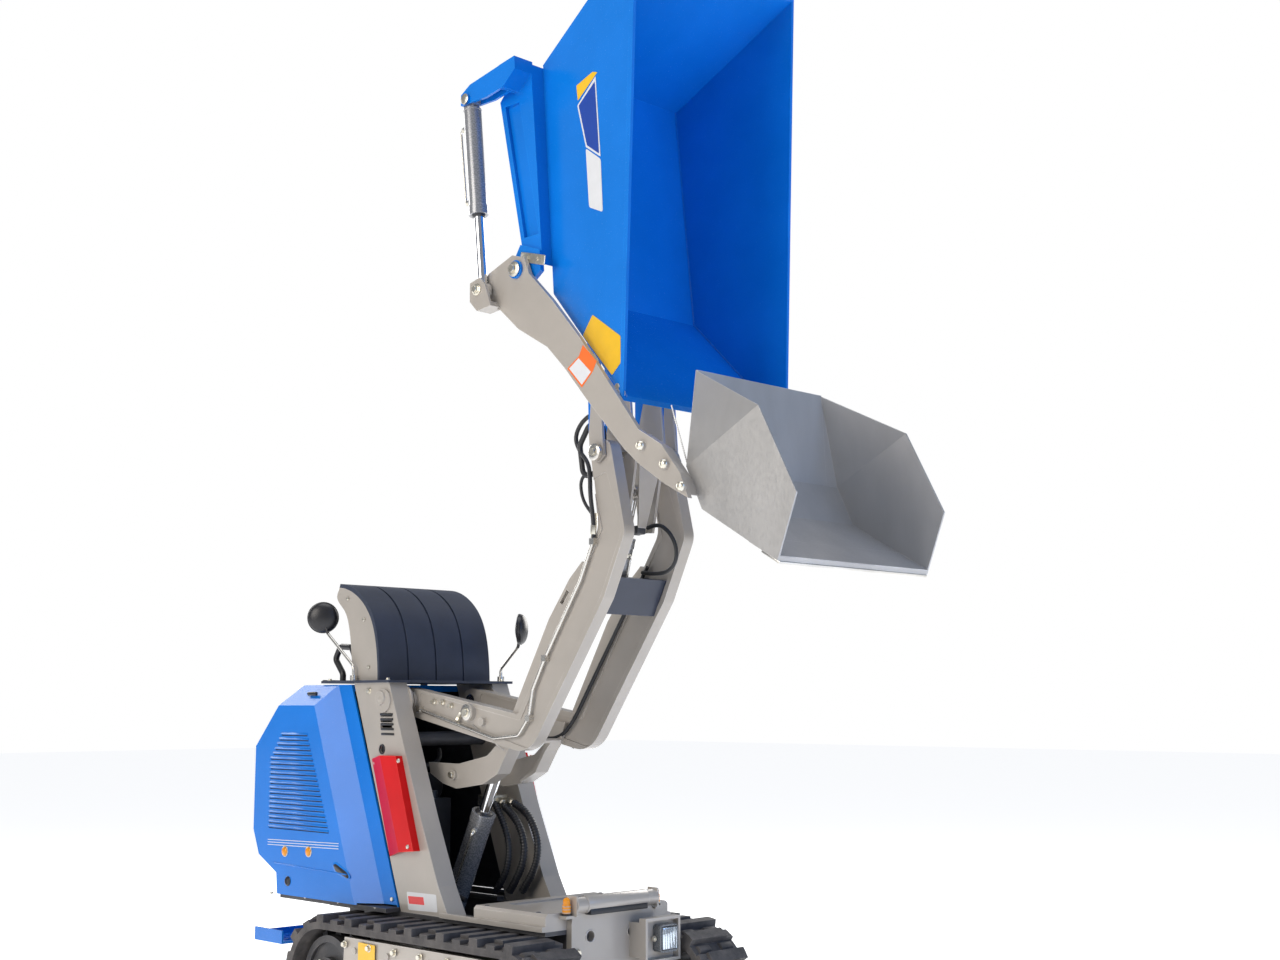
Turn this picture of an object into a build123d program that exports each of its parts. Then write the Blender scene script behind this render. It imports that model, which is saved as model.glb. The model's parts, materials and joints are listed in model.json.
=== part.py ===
from build123d import *
import math
import os

# Power wheelbarrow: tracked high-tip mini dumper with a self-loading shovel.
# Millimetres. X forward, Y left, Z up. The origin is on the ground, under the
# centre of the tracks. The boom is modelled raised and the skip tipped.

# ---- undercarriage
overall_width = 790.0
belt_width = 180.0
wheel_base = 842.0
ground_r = 190.0
lug_height = 22.0
belt_thick = 20.0
lug_count = 38
lug_length = 34.0
turn_gap = 0.3
wheel_width = 110.0
sprocket_teeth = 12
axle_r = 20.0
roller_r = 45.0
roller_axle_r = 12.0
roller_spacing = 340.0
bore_gap = 0.05
frame_plate = 12.0
side_plate_top = 325.0
side_plate_short = 103.0

# ---- chassis, pillars and hood
deck_z = 392.0
chassis_front = 437.0
chassis_rear = -600.0
pillar_gap = 32.0
pillar_width = 66.0
pillar_rear_low = -229.0
pillar_rear_high = -495.0
hood_gap = 12.0
console_z = 1071.0
plate_t = 8.0
hood_width = 600.0
hood_base_z = 404.0
hood_top_z = 1066.0
hood_wall = 5.0
tray_rear = 112.0
tray_height = 47.0
platform_width = 460.0
platform_length = 186.0
platform_hinge_x = -852.0
platform_z = 232.0

# ---- boom
boom_pivot_x = -335.0
boom_pivot_z = 1015.0
boom_reach_x = 858.0
boom_reach_z = 690.0
boom_span = 280.0
boom_depth = 40.0
boom_pin_r = 22.0
tip_pin_r = 15.0
lift_base_x = -330.0
lift_base_z = 277.0
lift_barrel_r = 36.0
lift_rod_r = 18.0
lift_barrel_length = 437.0
tilt_barrel_length = 190.0

# ---- skip, arms and shovel
skip_width = 656.0
skip_wall = 4.0
skip_length = 1285.0
arm_gap = 10.0
arm_plate = 14.0
arm_pin_r = 18.0
arm_cyl_r = 26.0
arm_rod_r = 14.0
arm_barrel_length = 350.0
shovel_width = 610.0
shovel_wall = 5.0

# ---- places worked out from the sizes above
track_y = (overall_width - belt_width) / 2
belt_outer_r = ground_r - lug_height
belt_inner_r = belt_outer_r - belt_thick
wheel_r = belt_inner_r - turn_gap
side_plate_half = wheel_base / 2 - side_plate_short
inner_edge = overall_width / 2 - belt_width
boom_outer = boom_span / 2
boom_inner = boom_outer - boom_depth
pillar_inner = boom_outer + pillar_gap
pillar_outer = pillar_inner + pillar_width
boom_pivot = (boom_pivot_x, boom_pivot_z)
tip = (boom_pivot_x + boom_reach_x, boom_pivot_z + boom_reach_z)
skip_half = skip_width / 2
arm_y = skip_half + arm_gap
arm_pivot = (tip[0] - 121, tip[1] + 512)
arm_clevis = (arm_pivot[0] - 129, arm_pivot[1] - 41)
arm_cyl_top = (tip[0] - 314, tip[1] + 1054)
arm_cyl_y = arm_y + arm_plate + arm_rod_r + 0.5
nodes = {}


# ---- helpers
def block(x0, x1, y0, y1, z0, z1):
    return Pos((x0 + x1) / 2, (y0 + y1) / 2, (z0 + z1) / 2) * Box(abs(x1 - x0), abs(y1 - y0),
                                                                  abs(z1 - z0))


def plate(points, y0, y1):
    """Flat plate: an outline in X and Z, from y0 to y1."""
    wire = Polyline([Vector(x, min(y0, y1), z) for x, z in points], close=True)
    return extrude(make_face(wire), amount=abs(y1 - y0), dir=(0, 1, 0))


def rounded_plate(points, radius, y0, y1):
    """The same plate with its corners rounded."""
    corners = [Vector(x, min(y0, y1), z) for x, z in points]
    wire = FilletPolyline(*corners, radius=radius, close=True)
    return extrude(make_face(wire), amount=abs(y1 - y0), dir=(0, 1, 0))


def rod_y(centre, radius, y0, y1):
    """Round bar across the machine."""
    return Pos(centre[0], (y0 + y1) / 2, centre[1]) * Rot(90, 0, 0) * Cylinder(radius, abs(y1 - y0))


def rod_between(a, b, radius):
    """Round bar from point a to point b."""
    a, b = Vector(*a), Vector(*b)
    return extrude(Plane(a, z_dir=b - a) * Circle(radius), amount=(b - a).length)


def tube_along(points, radius, bend):
    """Bent round bar or hose along straight runs joined by arcs."""
    path = FilletPolyline(*points, radius=bend)
    return sweep(Plane(path @ 0, z_dir=path % 0) * Circle(radius), path=path)


def other_side(shape):
    return mirror(shape, about=Plane.XZ)


def both_sides(shape):
    return Compound(children=[shape, other_side(shape)])


def shift(origin, *offsets):
    return [(origin[0] + x, origin[1] + z) for x, z in offsets]


def add(name, shape):
    nodes[name] = shape


# ---- tracks
def oval(radius, y0, y1):
    half = wheel_base / 2
    body = block(-half, half, y0, y1, ground_r - radius, ground_r + radius)
    return body + rod_y((-half, ground_r), radius, y0, y1) + rod_y((half, ground_r), radius, y0, y1)


def oval_place(s):
    """Point and outward angle on the belt's outer face, s along it from the top rear."""
    half, arc = wheel_base / 2, math.pi * belt_outer_r
    s = s % (2 * wheel_base + 2 * arc)
    if s < wheel_base:
        return -half + s, ground_r + belt_outer_r, 0
    if s < wheel_base + arc:
        a = (s - wheel_base) / belt_outer_r
        return half + belt_outer_r * math.sin(a), ground_r + belt_outer_r * math.cos(a), math.degrees(a)
    if s < 2 * wheel_base + arc:
        return half - (s - wheel_base - arc), ground_r - belt_outer_r, 180
    a = (s - 2 * wheel_base - arc) / belt_outer_r + math.pi
    return -half + belt_outer_r * math.sin(a), ground_r + belt_outer_r * math.cos(a), math.degrees(a)


def track_belt():
    y0, y1 = inner_edge, overall_width / 2
    belt = oval(belt_outer_r, y0, y1) - oval(belt_inner_r, y0 - 1, y1 + 1)
    length = 2 * wheel_base + 2 * math.pi * belt_outer_r
    sink = 4.0
    for i in range(lug_count):
        x, z, angle = oval_place(i * length / lug_count)
        side = 1 if i % 2 else -1
        wide = Pos(0, 0, (lug_height - sink) / 2) * Box(lug_length, belt_width, lug_height + sink)
        cut = Pos(0, side * belt_width / 2, lug_height) * Box(2 * lug_length, belt_width / 3, lug_height)
        belt += Pos(x, track_y, z) * Rot(0, angle, 0) * (wide - cut)
    return belt & oval(ground_r, y0, y1)


def track_frame():
    """Beam with an inner plate, an outer side cover, wheel axles and roller pins."""
    half = wheel_base / 2
    inner = inner_edge + 6
    beam_in, beam_out = inner + frame_plate, overall_width / 2 - 12 - frame_plate
    frame = plate([(-half - 40, 160), (-half + 40, 60), (half - 40, 60), (half + 40, 160),
                   (half + 40, 230),
                   (half - 60, 300), (60 - half, 300), (-half - 40, 230)], inner, beam_in)
    beam_half = half - wheel_r - 20
    frame += block(-beam_half, beam_half, beam_in, beam_out, 160, 250)
    frame += plate([(-side_plate_half, 150), (-beam_half, 66), (beam_half, 66), (side_plate_half, 150),
                    (side_plate_half - 10, side_plate_top), (10 - side_plate_half, side_plate_top)],
                   beam_out, beam_out + frame_plate)
    frame += block(-beam_half, beam_half, beam_out - 30, beam_out, 240, side_plate_top - 6)
    for x in (-half, half):
        frame += rod_y((x, ground_r), axle_r, beam_in, track_y + wheel_width / 2 + 12)
    for x in (-roller_spacing / 2, roller_spacing / 2):
        z = ground_r - belt_inner_r + turn_gap + roller_r
        frame += rod_y((x, z), roller_axle_r, beam_in, beam_out)
    for x in (-0.8, -0.3, 0.3, 0.8):
        frame += rod_y((x * side_plate_half, 290), 9, beam_out + frame_plate, beam_out + frame_plate + 5)
    return frame


def sprocket():
    root, width = wheel_r - 22, wheel_width
    wheel = rod_y((0, 0), root, -width / 2, width / 2)
    for i in range(sprocket_teeth):
        tooth = Pos(0, 0, (root + wheel_r) / 2 - 6) * Box(26, width * 0.4, wheel_r - root + 8)
        wheel += Rot(0, 360 / sprocket_teeth * i, 0) * tooth
    wheel &= rod_y((0, 0), wheel_r, -width, width)
    wheel -= rod_y((0, 0), axle_r + bore_gap, -width, width)
    wheel -= rod_y((0, 0), root - 20, width / 2 - 12, width)
    hub = rod_y((0, 0), 62, width / 2 - 14, width / 2 + 8) - rod_y((0, 0), axle_r + bore_gap, 0, width)
    wheel += hub
    for i in range(8):
        a = math.radians(45 * i)
        wheel += rod_y((46 * math.cos(a), 46 * math.sin(a)), 6, width / 2 + 6, width / 2 + 13)
    return Pos(-wheel_base / 2, track_y, ground_r) * wheel


def idler():
    width = wheel_width
    wheel = rod_y((0, 0), wheel_r, -width / 2, width / 2)
    wheel -= rod_y((0, 0), wheel_r - 24, width / 2 - 30, width)
    wheel -= rod_y((0, 0), wheel_r - 24, -width, 30 - width / 2)
    wheel += rod_y((0, 0), 48, -width / 2, width / 2 + 8)
    wheel -= rod_y((0, 0), axle_r + bore_gap, -width, width)
    for i in range(5):
        a = math.radians(72 * i)
        wheel -= rod_y((86 * math.cos(a), 86 * math.sin(a)), 18, -width, width)
    return Pos(wheel_base / 2, track_y, ground_r) * wheel


def track_roller(x):
    half = 50
    z = ground_r - belt_inner_r + turn_gap + roller_r
    body = rod_y((0, 0), roller_r, -half, half) - rod_y((0, 0), roller_r + 5, -14, 14)
    body += rod_y((0, 0), roller_r - 12, -14, 14)
    body -= rod_y((0, 0), roller_axle_r + bore_gap, -half - 1, half + 1)
    return Pos(x, track_y, z) * body


def undercarriage():
    parts = {"track_belt": track_belt(), "track_frame": track_frame(), "drive_sprocket": sprocket(),
             "idler_wheel": idler()}
    parts["front_track_roller"] = track_roller(roller_spacing / 2)
    parts["rear_track_roller"] = track_roller(-roller_spacing / 2)
    for name, shape in parts.items():
        add(name + "_left", shape)
        add(name + "_right", other_side(shape))


# ---- chassis
def chassis_base():
    """Welded box between the track frames, with cross members that hold them."""
    side = inner_edge + 6
    body = block(chassis_rear, chassis_front - 20, -side + 60, side - 60, 150, deck_z)
    body -= block(chassis_rear + 12, chassis_front - 32, -side + 72, side - 72, 162, deck_z + 1)
    for x in (-300, 300):
        body += block(x - 40, x + 40, -side, side, 170, 240)
    for y in (1, -1):
        body += block(chassis_rear, chassis_front - 20, y * (side - 60), y * pillar_outer, deck_z - 12,
                      deck_z)
    for y in (1, -1):
        lug = plate(shift((lift_base_x, lift_base_z), (-50, -115), (50, -115), (24, 24), (-24, 24)),
                    y * 52, y * 64)
        body += lug
    body += rod_y((lift_base_x, lift_base_z), 16, -66, 66)
    return body


def front_plate():
    """Bumper plate with two round holes and a tube along its top."""
    half = 160
    x0 = chassis_front - 20
    body = block(x0, chassis_front, -half, half, 190, 437)
    body = fillet(body.edges().filter_by(Axis.X).group_by(Axis.Z)[-1], 26)
    for y in (-90, 70):
        body -= Pos(chassis_front - 10, y, 370) * Rot(0, 90, 0) * Cylinder(15, 60)
    body += Pos(x0 + 23, 0, 458) * Rot(90, 0, 0) * Cylinder(22, 2 * half - 6)
    for y in (-half, half - 6):
        body += block(x0, x0 + 40, y, y + 6, 430, 484)
    return body


def side_lights():
    lamps = []
    for y in (-174, 174):
        base = Pos(chassis_front - 6, y, 447) * Cylinder(12, 30)
        lamps.append(base + Pos(chassis_front - 6, y, 466) * Cylinder(10, 10)
                     + Pos(chassis_front - 6, y, 471) * Sphere(10))
    stands = [block(chassis_front - 20, chassis_front + 8, y - 14, y + 14, 424, 432) for y in (-174, 174)]
    return Compound(children=lamps), stands


light_x = chassis_front + 40
light_y = inner_edge - 14


def light_bracket():
    """Square frame for the work light, ahead of the front plate's left end."""
    x0, x1, y0, y1 = light_x, light_x + 26, light_y - 140, light_y
    frame = block(x0, x1, y0, y1, 286, 408) - block(x0 - 1, x1 + 1, y0 + 8, y1 - 8, 294, 400)
    frame += block(chassis_front, x0, y0, y0 + 8, 300, 396)
    frame += block(chassis_front, x0, 150, 158, 300, 396)
    frame += block(x0, x0 + 6, y0 + 8, y1 - 8, 294, 400)
    return frame


def headlight():
    body = block(light_x + 6, light_x + 36, light_y - 92, light_y - 20, 312, 388)
    return fillet(body.edges().filter_by(Axis.X), 12)


def chassis_tray():
    """Cover box in front of the pillars, open below, with a rail down each side."""
    x1 = chassis_front - 20
    body = block(tray_rear, x1, -pillar_outer, pillar_outer, deck_z, deck_z + tray_height)
    body = chamfer(body.edges().filter_by(Axis.X).group_by(Axis.Z)[-1], 8)
    body -= block(tray_rear + 6, x1 - 6, 6 - pillar_outer, pillar_outer - 6, deck_z - 1,
                  deck_z + tray_height - 6)
    body -= block(tray_rear + 40, x1 - 40, -150, 150, deck_z, deck_z + tray_height + 1)
    body += block(tray_rear + 34, x1 - 34, -156, 156, deck_z + tray_height - 16, deck_z + tray_height - 6)
    for y in (1, -1):
        body += block(-30, x1, y * pillar_outer, y * (pillar_outer + 12), deck_z, deck_z + 14)
    return body


def pillar():
    """Hollow leaning pillar that carries the boom pivot."""
    outline = [(pillar_rear_high, console_z), (pillar_rear_low, deck_z), (-2, deck_z), (-53, 477),
               (-145, 675), (-312, console_z)]
    body = plate(outline, pillar_inner, pillar_outer)
    inner = [(pillar_rear_high + 11, console_z + 1), (pillar_rear_low + 7, deck_z - 1),
             (-12, deck_z - 1), (-62, 477), (-153, 675),
             (-321, console_z + 1)]
    body -= plate(inner, pillar_inner + 8, pillar_outer - 8)
    body += rod_y(boom_pivot, 52, pillar_inner - 6, pillar_inner)
    body += rod_y(boom_pivot, boom_pin_r + 14, pillar_inner, pillar_outer + 6)
    body -= rod_y(boom_pivot, boom_pin_r + bore_gap, pillar_inner - 10, pillar_outer - 4)
    dome = Pos(-345, pillar_outer, 1024) * Sphere(24)
    body += dome & block(-400, -300, pillar_outer - 4, pillar_outer + 12, 990, 1060)
    for i in range(3):
        z = 972 - 17 * i
        body -= block(-352, -292, pillar_outer - 20, pillar_outer + 1, z - 5, z + 5)
    body -= rod_y((-341, 868), 12, pillar_outer - 20, pillar_outer + 1)
    return body


def red_guard():
    """Bent guard sheet on the pillar's outer face."""
    outline = [(-386, 838), (-318, 850), (-239, 850), (-142, 574), (-212, 568), (-284, 550)]
    body = plate(outline, pillar_outer, pillar_outer + 5)
    fold = [(-318, 850), (-239, 850), (-142, 574), (-212, 568)]
    body += plate(fold, pillar_outer, pillar_outer + 26)
    edge = [Vector(-318, pillar_outer + 5, 850), Vector(-386, pillar_outer + 5, 838),
            Vector(-318, pillar_outer + 26, 850)]
    low = [Vector(-212, pillar_outer + 5, 568), Vector(-284, pillar_outer + 5, 550),
           Vector(-212, pillar_outer + 26, 568)]
    wedge = loft([make_face(Polyline(edge, close=True)), make_face(Polyline(low, close=True))],
                 ruled=True)
    return body + wedge


lever_x = -608
lever_z = console_z - 16
console_pin_r = 8


def console_plate():
    """Top plate with the lever opening and the levers' pivot bar."""
    body = block(-660, -300, -pillar_outer - 12, pillar_outer + 12, console_z, console_z + plate_t)
    body -= block(-655, -560, -120, 120, console_z - 1, console_z + plate_t + 1)
    for y in (1, -1):
        body += block(lever_x - 14, lever_x + 14, y * 120, y * 128, lever_z - 14, console_z)
    body += rod_y((lever_x, lever_z), console_pin_r, -124, 124)
    return body


def guard_curve(points, y0, y1):
    """Curved strip: the outer points up, the inner points back down."""
    outer, inner = points
    pts3 = [[Vector(x, y0, z) for x, z in side] for side in (outer, inner)]
    edges = [Spline(pts3[0]), Line(pts3[0][-1], pts3[1][0]), Spline(pts3[1]),
             Line(pts3[1][-1], pts3[0][0])]
    return extrude(make_face(edges), amount=y1 - y0, dir=(0, 1, 0))


def console_guard():
    """Ribbed curved cover over the controls, with a plate at each end."""
    base = console_z + plate_t
    outer = [(-384, base), (-392, 1172), (-432, 1290), (-510, 1362), (-606, 1390)]
    inner = [(-610, 1378), (-518, 1350), (-442, 1282), (-402, 1170), (-394, base)]
    half, groove = 223, 4
    cover = guard_curve((outer, inner), -half, half)
    step = 2 * half / 4
    for i in range(1, 4):
        y = -half + i * step
        cut = guard_curve((outer, [(x - 3, z - 3) for x, z in inner[:-1]] + [(-388, base - 3)]),
                          y - groove, y + groove)
        keep = guard_curve(([(x - 4, z - 3) for x, z in outer], inner), y - groove, y + groove)
        cover = cover - cut + keep
    cover &= block(-700, -300, -half, half, base, base + 400)
    end_in = [(-622, 1348), (-581, 1304), (-551, 1246), (-537, 1176), (-523, base)]
    wall = guard_curve((inner[::-1], [(-612, 1372)] + end_in[0:]), half - 8, half)
    return cover, both_sides(wall)


def grab_handle():
    z = console_z + plate_t
    points = [(-646, 176, z), (-646, 176, z + 24), (-690, 176, z + 72), (-664, 176, z + 112),
              (-600, 176, z + 108), (-572, 176, z + 60), (-572, 176, z)]
    return tube_along(points, 10, 16)


def mirror_arm(points, normal):
    """Round mirror on a thin stalk."""
    stalk = tube_along(points, 5, 20)
    foot = Pos(points[0][0], points[0][1], points[0][2] + 8) * Cylinder(11, 16)
    head = Plane(points[-1], z_dir=normal) * (Cylinder(50, 8) + Pos(0, 0, -4) * scale(Sphere(48),
                                                                                      (1, 1, 0.42)))
    return stalk + foot + head


def mirrors():
    z = console_z + plate_t
    y = pillar_outer
    add("mirror_right", mirror_arm([(-500, -y, z), (-500, -y, z + 44), (-640, -y - 4, z + 150),
                                    (-668, -y - 6, z + 204)], (-0.75, 0.62, 0)))
    add("mirror_left", mirror_arm([(-346, y, z), (-346, y, z + 38), (-262, y + 2, z + 110),
                                   (-254, y + 4, z + 168)], (-0.75, -0.62, 0)))


def control_lever(x, y):
    """Lever on the pivot bar, with a thicker grip."""
    hub = rod_y((x, lever_z), 16, y - 11, y + 11)
    stick = rod_between((x, y, lever_z + 10), (x - 20, y, lever_z + 150), 6)
    grip = rod_between((x - 19, y, lever_z + 140), (x - 27, y, lever_z + 190), 13)
    return hub + stick + grip - rod_y((x, lever_z), console_pin_r + bore_gap, y - 12, y + 12)


def control_levers():
    for name, y in (("drive_lever_left", 34), ("drive_lever_right", -34), ("hydraulic_lever", -86)):
        add(name, control_lever(lever_x, y))


# ---- hood and what it covers
hood_front_low = pillar_rear_low - hood_gap
hood_front_high = pillar_rear_high - hood_gap


def hood_solid(inset):
    """Engine hood with bevelled front corners and a sloping back."""
    half = hood_width / 2 - inset
    rear, low = -954 + inset, hood_base_z
    side = [(-762, hood_top_z - inset), (rear, 868), (rear, 600), (-918 + inset, 522),
            (-812 + inset, 470),
            (-804 + inset, low), (hood_front_low - inset, low),
            (hood_front_high - inset, hood_top_z - inset)]
    body = plate(side, -half, half)
    for y in (1, -1):
        for back, out, front, inner in ((140, half, 62, half - 55), (62, half - 55, 0,
                                                                     pillar_outer + 2 - inset)):
            pts = [(back, out), (front, inner), (-80, inner), (-80, half + 10), (back, half + 10)]
            low_pts = [Vector(hood_front_low - inset - u, y * v, low) for u, v in pts]
            high_pts = [Vector(hood_front_high - inset - u, y * v, hood_top_z) for u, v in pts]
            body -= loft([make_face(Polyline(low_pts, close=True)),
                          make_face(Polyline(high_pts, close=True))],
                         ruled=True)
        crown = [Vector(-1000, y * (half + 1), 1000 - inset),
                 Vector(-1000, y * (half + 1), hood_top_z + 9),
                 Vector(-1000, y * (half - 62), hood_top_z + 9)]
        body -= extrude(make_face(Polyline(crown, close=True)), amount=1000, dir=(1, 0, 0))
    return body


def hood_shell():
    body = hood_solid(0) - hood_solid(hood_wall)
    body -= plate([(-804 + hood_wall, hood_base_z - 1), (hood_front_low - hood_wall, hood_base_z - 1),
                   (hood_front_low - hood_wall, hood_base_z + hood_wall),
                   (-804 + hood_wall, hood_base_z + hood_wall)], -hood_width / 2 + hood_wall,
                   hood_width / 2 - hood_wall)
    open_front = [(hood_front_low - 2 * hood_wall, hood_base_z - 1),
                  (hood_front_low + 30, hood_base_z - 1),
                  (hood_front_high + 30, hood_top_z - 20),
                  (hood_front_high - 2 * hood_wall, hood_top_z - 20)]
    body -= plate(open_front, -pillar_outer + 4, pillar_outer - 4)
    body -= block(lever_x - 60, lever_x + 60, -134, 134, lever_z - 60, hood_top_z + 1)
    for y in (1, -1):
        for i in range(20):
            z = 610 + 15.6 * i
            front = -520 - (z - 600) * 0.44
            rear = -852 - (12 if z < 840 else -0.72 * (z - 840))
            slot = block(rear, front, y * (hood_width / 2 - 3), y * (hood_width / 2 + 1), z - 3, z + 3)
            body -= slot
    return body


def engine_block():
    body = block(-800, -560, -140, 130, 440, 640) + block(-770, -600, -90, 90, 640, 760)
    for i in range(6):
        z = 655 + 16 * i
        body += block(-784, -586, -104, 104, z, z + 6)
    body += rod_y((-690, 540), 70, -190, -138)
    body += block(-780, -580, -120, 120, hood_base_z, 442)
    return body


def muffler():
    body = Pos(-700, 160, 730) * Rot(0, 90, 0) * Cylinder(48, 190)
    body += rod_between((-700, 160, 712), (-700, 104, 712), 14)
    return body


def fuel_tank():
    body = block(-760, -560, -130, 60, 800, 980)
    body = fillet(body.edges().filter_by(Axis.Z), 24)
    body += Pos(-700, -40, 1000) * Cylinder(30, 44)
    for y in (-120, 40):
        body += block(-740, -580, y, y + 10, 760, 802)
    return body


def hydraulic_tank():
    body = block(-540, -500, -160, 160, 420, 700)
    body += block(-560, -480, -150, 150, hood_base_z, 424)
    body += Pos(-520, 100, 712) * Cylinder(16, 26)
    return body


def hydraulic_pump():
    body = rod_y((-690, 540), 46, 130, 205) + block(-730, -650, 150, 196, 520, 610)
    return body


def floor_pan():
    """Deck sheet under the hood, on the chassis box."""
    body = block(-800, -235, 10 - hood_width / 2, hood_width / 2 - 10, deck_z, hood_base_z)
    body -= block(-480, -234, -140, 140, deck_z - 1, hood_base_z + 1)
    for y in (1, -1):
        body -= block(-500, -220, y * (pillar_inner - 4), y * (pillar_outer + 2), deck_z - 1,
                      hood_base_z + 1)
    return body


def operator_platform():
    """Fold-up step behind the tracks."""
    half = platform_width / 2
    hinge_x = platform_hinge_x
    body = block(hinge_x - platform_length, hinge_x - 24, -half, half, platform_z, platform_z + 8)
    for y in (-half, half - 6):
        body += block(hinge_x - platform_length, hinge_x - 24, y, y + 6, platform_z, platform_z + 42)
    body += block(hinge_x - platform_length, hinge_x - platform_length + 6, -half, half, platform_z,
                  platform_z + 30)
    for i in range(4):
        x = hinge_x - platform_length + 30 + 32 * i
        body += block(x, x + 8, -half + 20, half - 20, platform_z + 6, platform_z + 12)
    body += block(hinge_x - 30, hinge_x, -60, 60, platform_z - 2, platform_z + 12)
    body += rod_y((hinge_x, platform_z + 5), 16, -60, 60)
    body -= rod_y((hinge_x, platform_z + 5), 8 + bore_gap, -61, 61)
    return body


def platform_bracket():
    """Hinge pin of the step, on two arms from the chassis."""
    hinge_x = platform_hinge_x
    body = rod_y((hinge_x, platform_z + 5), 8, -80, 80)
    for y in (1, -1):
        body += block(hinge_x - 12, chassis_rear, y * 64, y * 76, platform_z - 14, platform_z + 22)
    return body


def chassis():
    add("chassis_base", chassis_base() + platform_bracket())
    lamps, stands = side_lights()
    plate_body = front_plate()
    for stand in stands:
        plate_body += stand
    plate_body += light_bracket()
    add("front_plate", plate_body)
    add("side_lights", lamps)
    add("headlight", headlight())
    add("chassis_tray", chassis_tray())
    add("pillar_left", pillar())
    add("pillar_right", other_side(pillar()))
    add("red_guard_left", red_guard())
    add("red_guard_right", other_side(red_guard()))
    add("console_plate", console_plate())
    cover, ends = console_guard()
    add("console_guard", cover)
    add("guard_end_plates", ends)
    add("grab_handle", other_side(grab_handle()))
    add("cross_tube", rod_y((-360, 897), 22, -pillar_inner, pillar_inner))
    add("floor_pan", floor_pan())
    add("hood_shell", hood_shell())
    add("engine_block", engine_block())
    add("muffler", muffler())
    add("fuel_tank", fuel_tank())
    add("hydraulic_tank", hydraulic_tank())
    add("hydraulic_pump", hydraulic_pump())
    add("operator_platform", operator_platform())
    mirrors()
    control_levers()


# ---- boom
def band_outline(centres, halves):
    """Outline of a bar that follows the centres, with a half depth at each."""
    left, right = [], []
    last = len(centres) - 1
    for i, (x, z) in enumerate(centres):
        ahead = Vector(*centres[min(i + 1, last)]) - Vector(*centres[min(i, last - 1)])
        behind = Vector(*centres[max(i, 1)]) - Vector(*centres[max(i - 1, 0)])
        mean = (ahead.normalized() + behind.normalized()).normalized()
        stretch = 1 / max(mean.dot(ahead.normalized()), 0.5)
        off = Vector(-mean.Y, mean.X) * halves[i] * stretch
        left.append((x + off.X, z + off.Y))
        right.append((x - off.X, z - off.Y))
    return left + right[::-1]


def boom_centres(start=0.0, end=0.0):
    rx, rz = boom_reach_x, boom_reach_z
    pts = [(-30 + start, 4), (rx - 317, -97), (rx - 37, rz - 374), (rx + 47, rz - 220),
           (rx - 4, rz + 36 - end)]
    return shift(boom_pivot, *pts)


boom_halves = (42, 52, 62, 50, 40)
boom_corners = (30, 14, 60, 60, 34, 34, 60, 60, 100, 30)


def boom_blank():
    return rounded_plate(band_outline(boom_centres(), boom_halves), boom_corners, boom_inner, boom_outer)


def boom_plate():
    """Boxed side plate of the boom, from the pillar pivot to the tip pin."""
    body = boom_blank()
    recess = band_outline(boom_centres(80, 100), (22, 36, 48, 36, 30))
    body -= rounded_plate(recess, 12, boom_outer - 3, boom_outer + 1)
    body -= rounded_plate(recess, 12, boom_inner - 1, boom_inner + 3)
    body += rod_y(boom_pivot, 36, boom_outer - 4, boom_outer + 8)
    body += rod_y(shift(boom_pivot, (297, -34))[0], 26, boom_outer - 4, boom_outer + 14)
    body += rod_y(shift(boom_pivot, (boom_reach_x - 500, -62))[0], 12, boom_outer - 4, boom_outer + 10)
    body -= rod_y(tip, tip_pin_r, boom_inner - 1, boom_outer + 1)
    body -= rod_y(boom_pivot, boom_pin_r, boom_inner - 1, boom_outer + 9)
    return body


def boom_strap():
    """Second strap behind the upper arm."""
    rx, rz = boom_reach_x, boom_reach_z
    outline = shift(boom_pivot, (rx - 378, -36), (rx - 223, rz - 458), (rx - 136, rz - 346),
                    (rx - 84, rz - 300),
                    (rx - 62, rz - 316), (rx - 190, rz - 500), (rx - 338, -42))
    body = plate(outline, boom_inner + 4, boom_outer - 10)
    slot = shift(boom_pivot, (rx - 176, rz - 412), (rx - 148, rz - 376), (rx - 138, rz - 384),
                 (rx - 166, rz - 420))
    body -= plate(slot, 0, boom_outer)
    foot = shift(boom_pivot, (rx - 330, -60), (rx - 380, -36), (rx - 330, 20), (rx - 300, 20))
    body += plate(foot, boom_inner + 4, boom_outer - 10)
    return body - boom_blank()


def crank_frame():
    """Lower plates under the elbow, joined by a belly plate with a slot for the cylinder."""
    rx = boom_reach_x
    outline = shift(boom_pivot, (49, -188), (195, -190), (330, -163), (rx - 472, -120), (rx - 450, -60),
                    (rx - 390, -64), (rx - 410, -120), (rx - 435, -149), (rx - 480, -215),
                    (rx - 546, -247),
                    (187, -264), (120, -250), (60, -222))
    side = plate(outline, boom_inner - 12, boom_inner)
    side -= rod_y(shift(boom_pivot, (176, -223))[0], 10, boom_inner - 13, boom_inner + 1)
    side += rod_y(shift(boom_pivot, (176, -223))[0], 15, boom_inner - 4, boom_inner + 10)
    belly = shift(boom_pivot, (rx - 546, -247), (rx - 480, -215), (rx - 435, -149), (rx - 405, -118),
                  (rx - 413, -112), (rx - 443, -143), (rx - 487, -208), (rx - 550, -240))
    body = side + other_side(side) + plate(belly, 12 - boom_inner, boom_inner - 12)
    body -= block(boom_pivot_x, boom_pivot_x + rx, -50, 50, boom_pivot_z - 260, boom_pivot_z - 126)
    return body


lift_eye = (boom_pivot_x + 335, boom_pivot_z - 60)
tilt_eye = (tip[0] - 4, tip[1] - 100)
tilt_base = (tip[0] - 93, tip[1] - 415)


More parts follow.
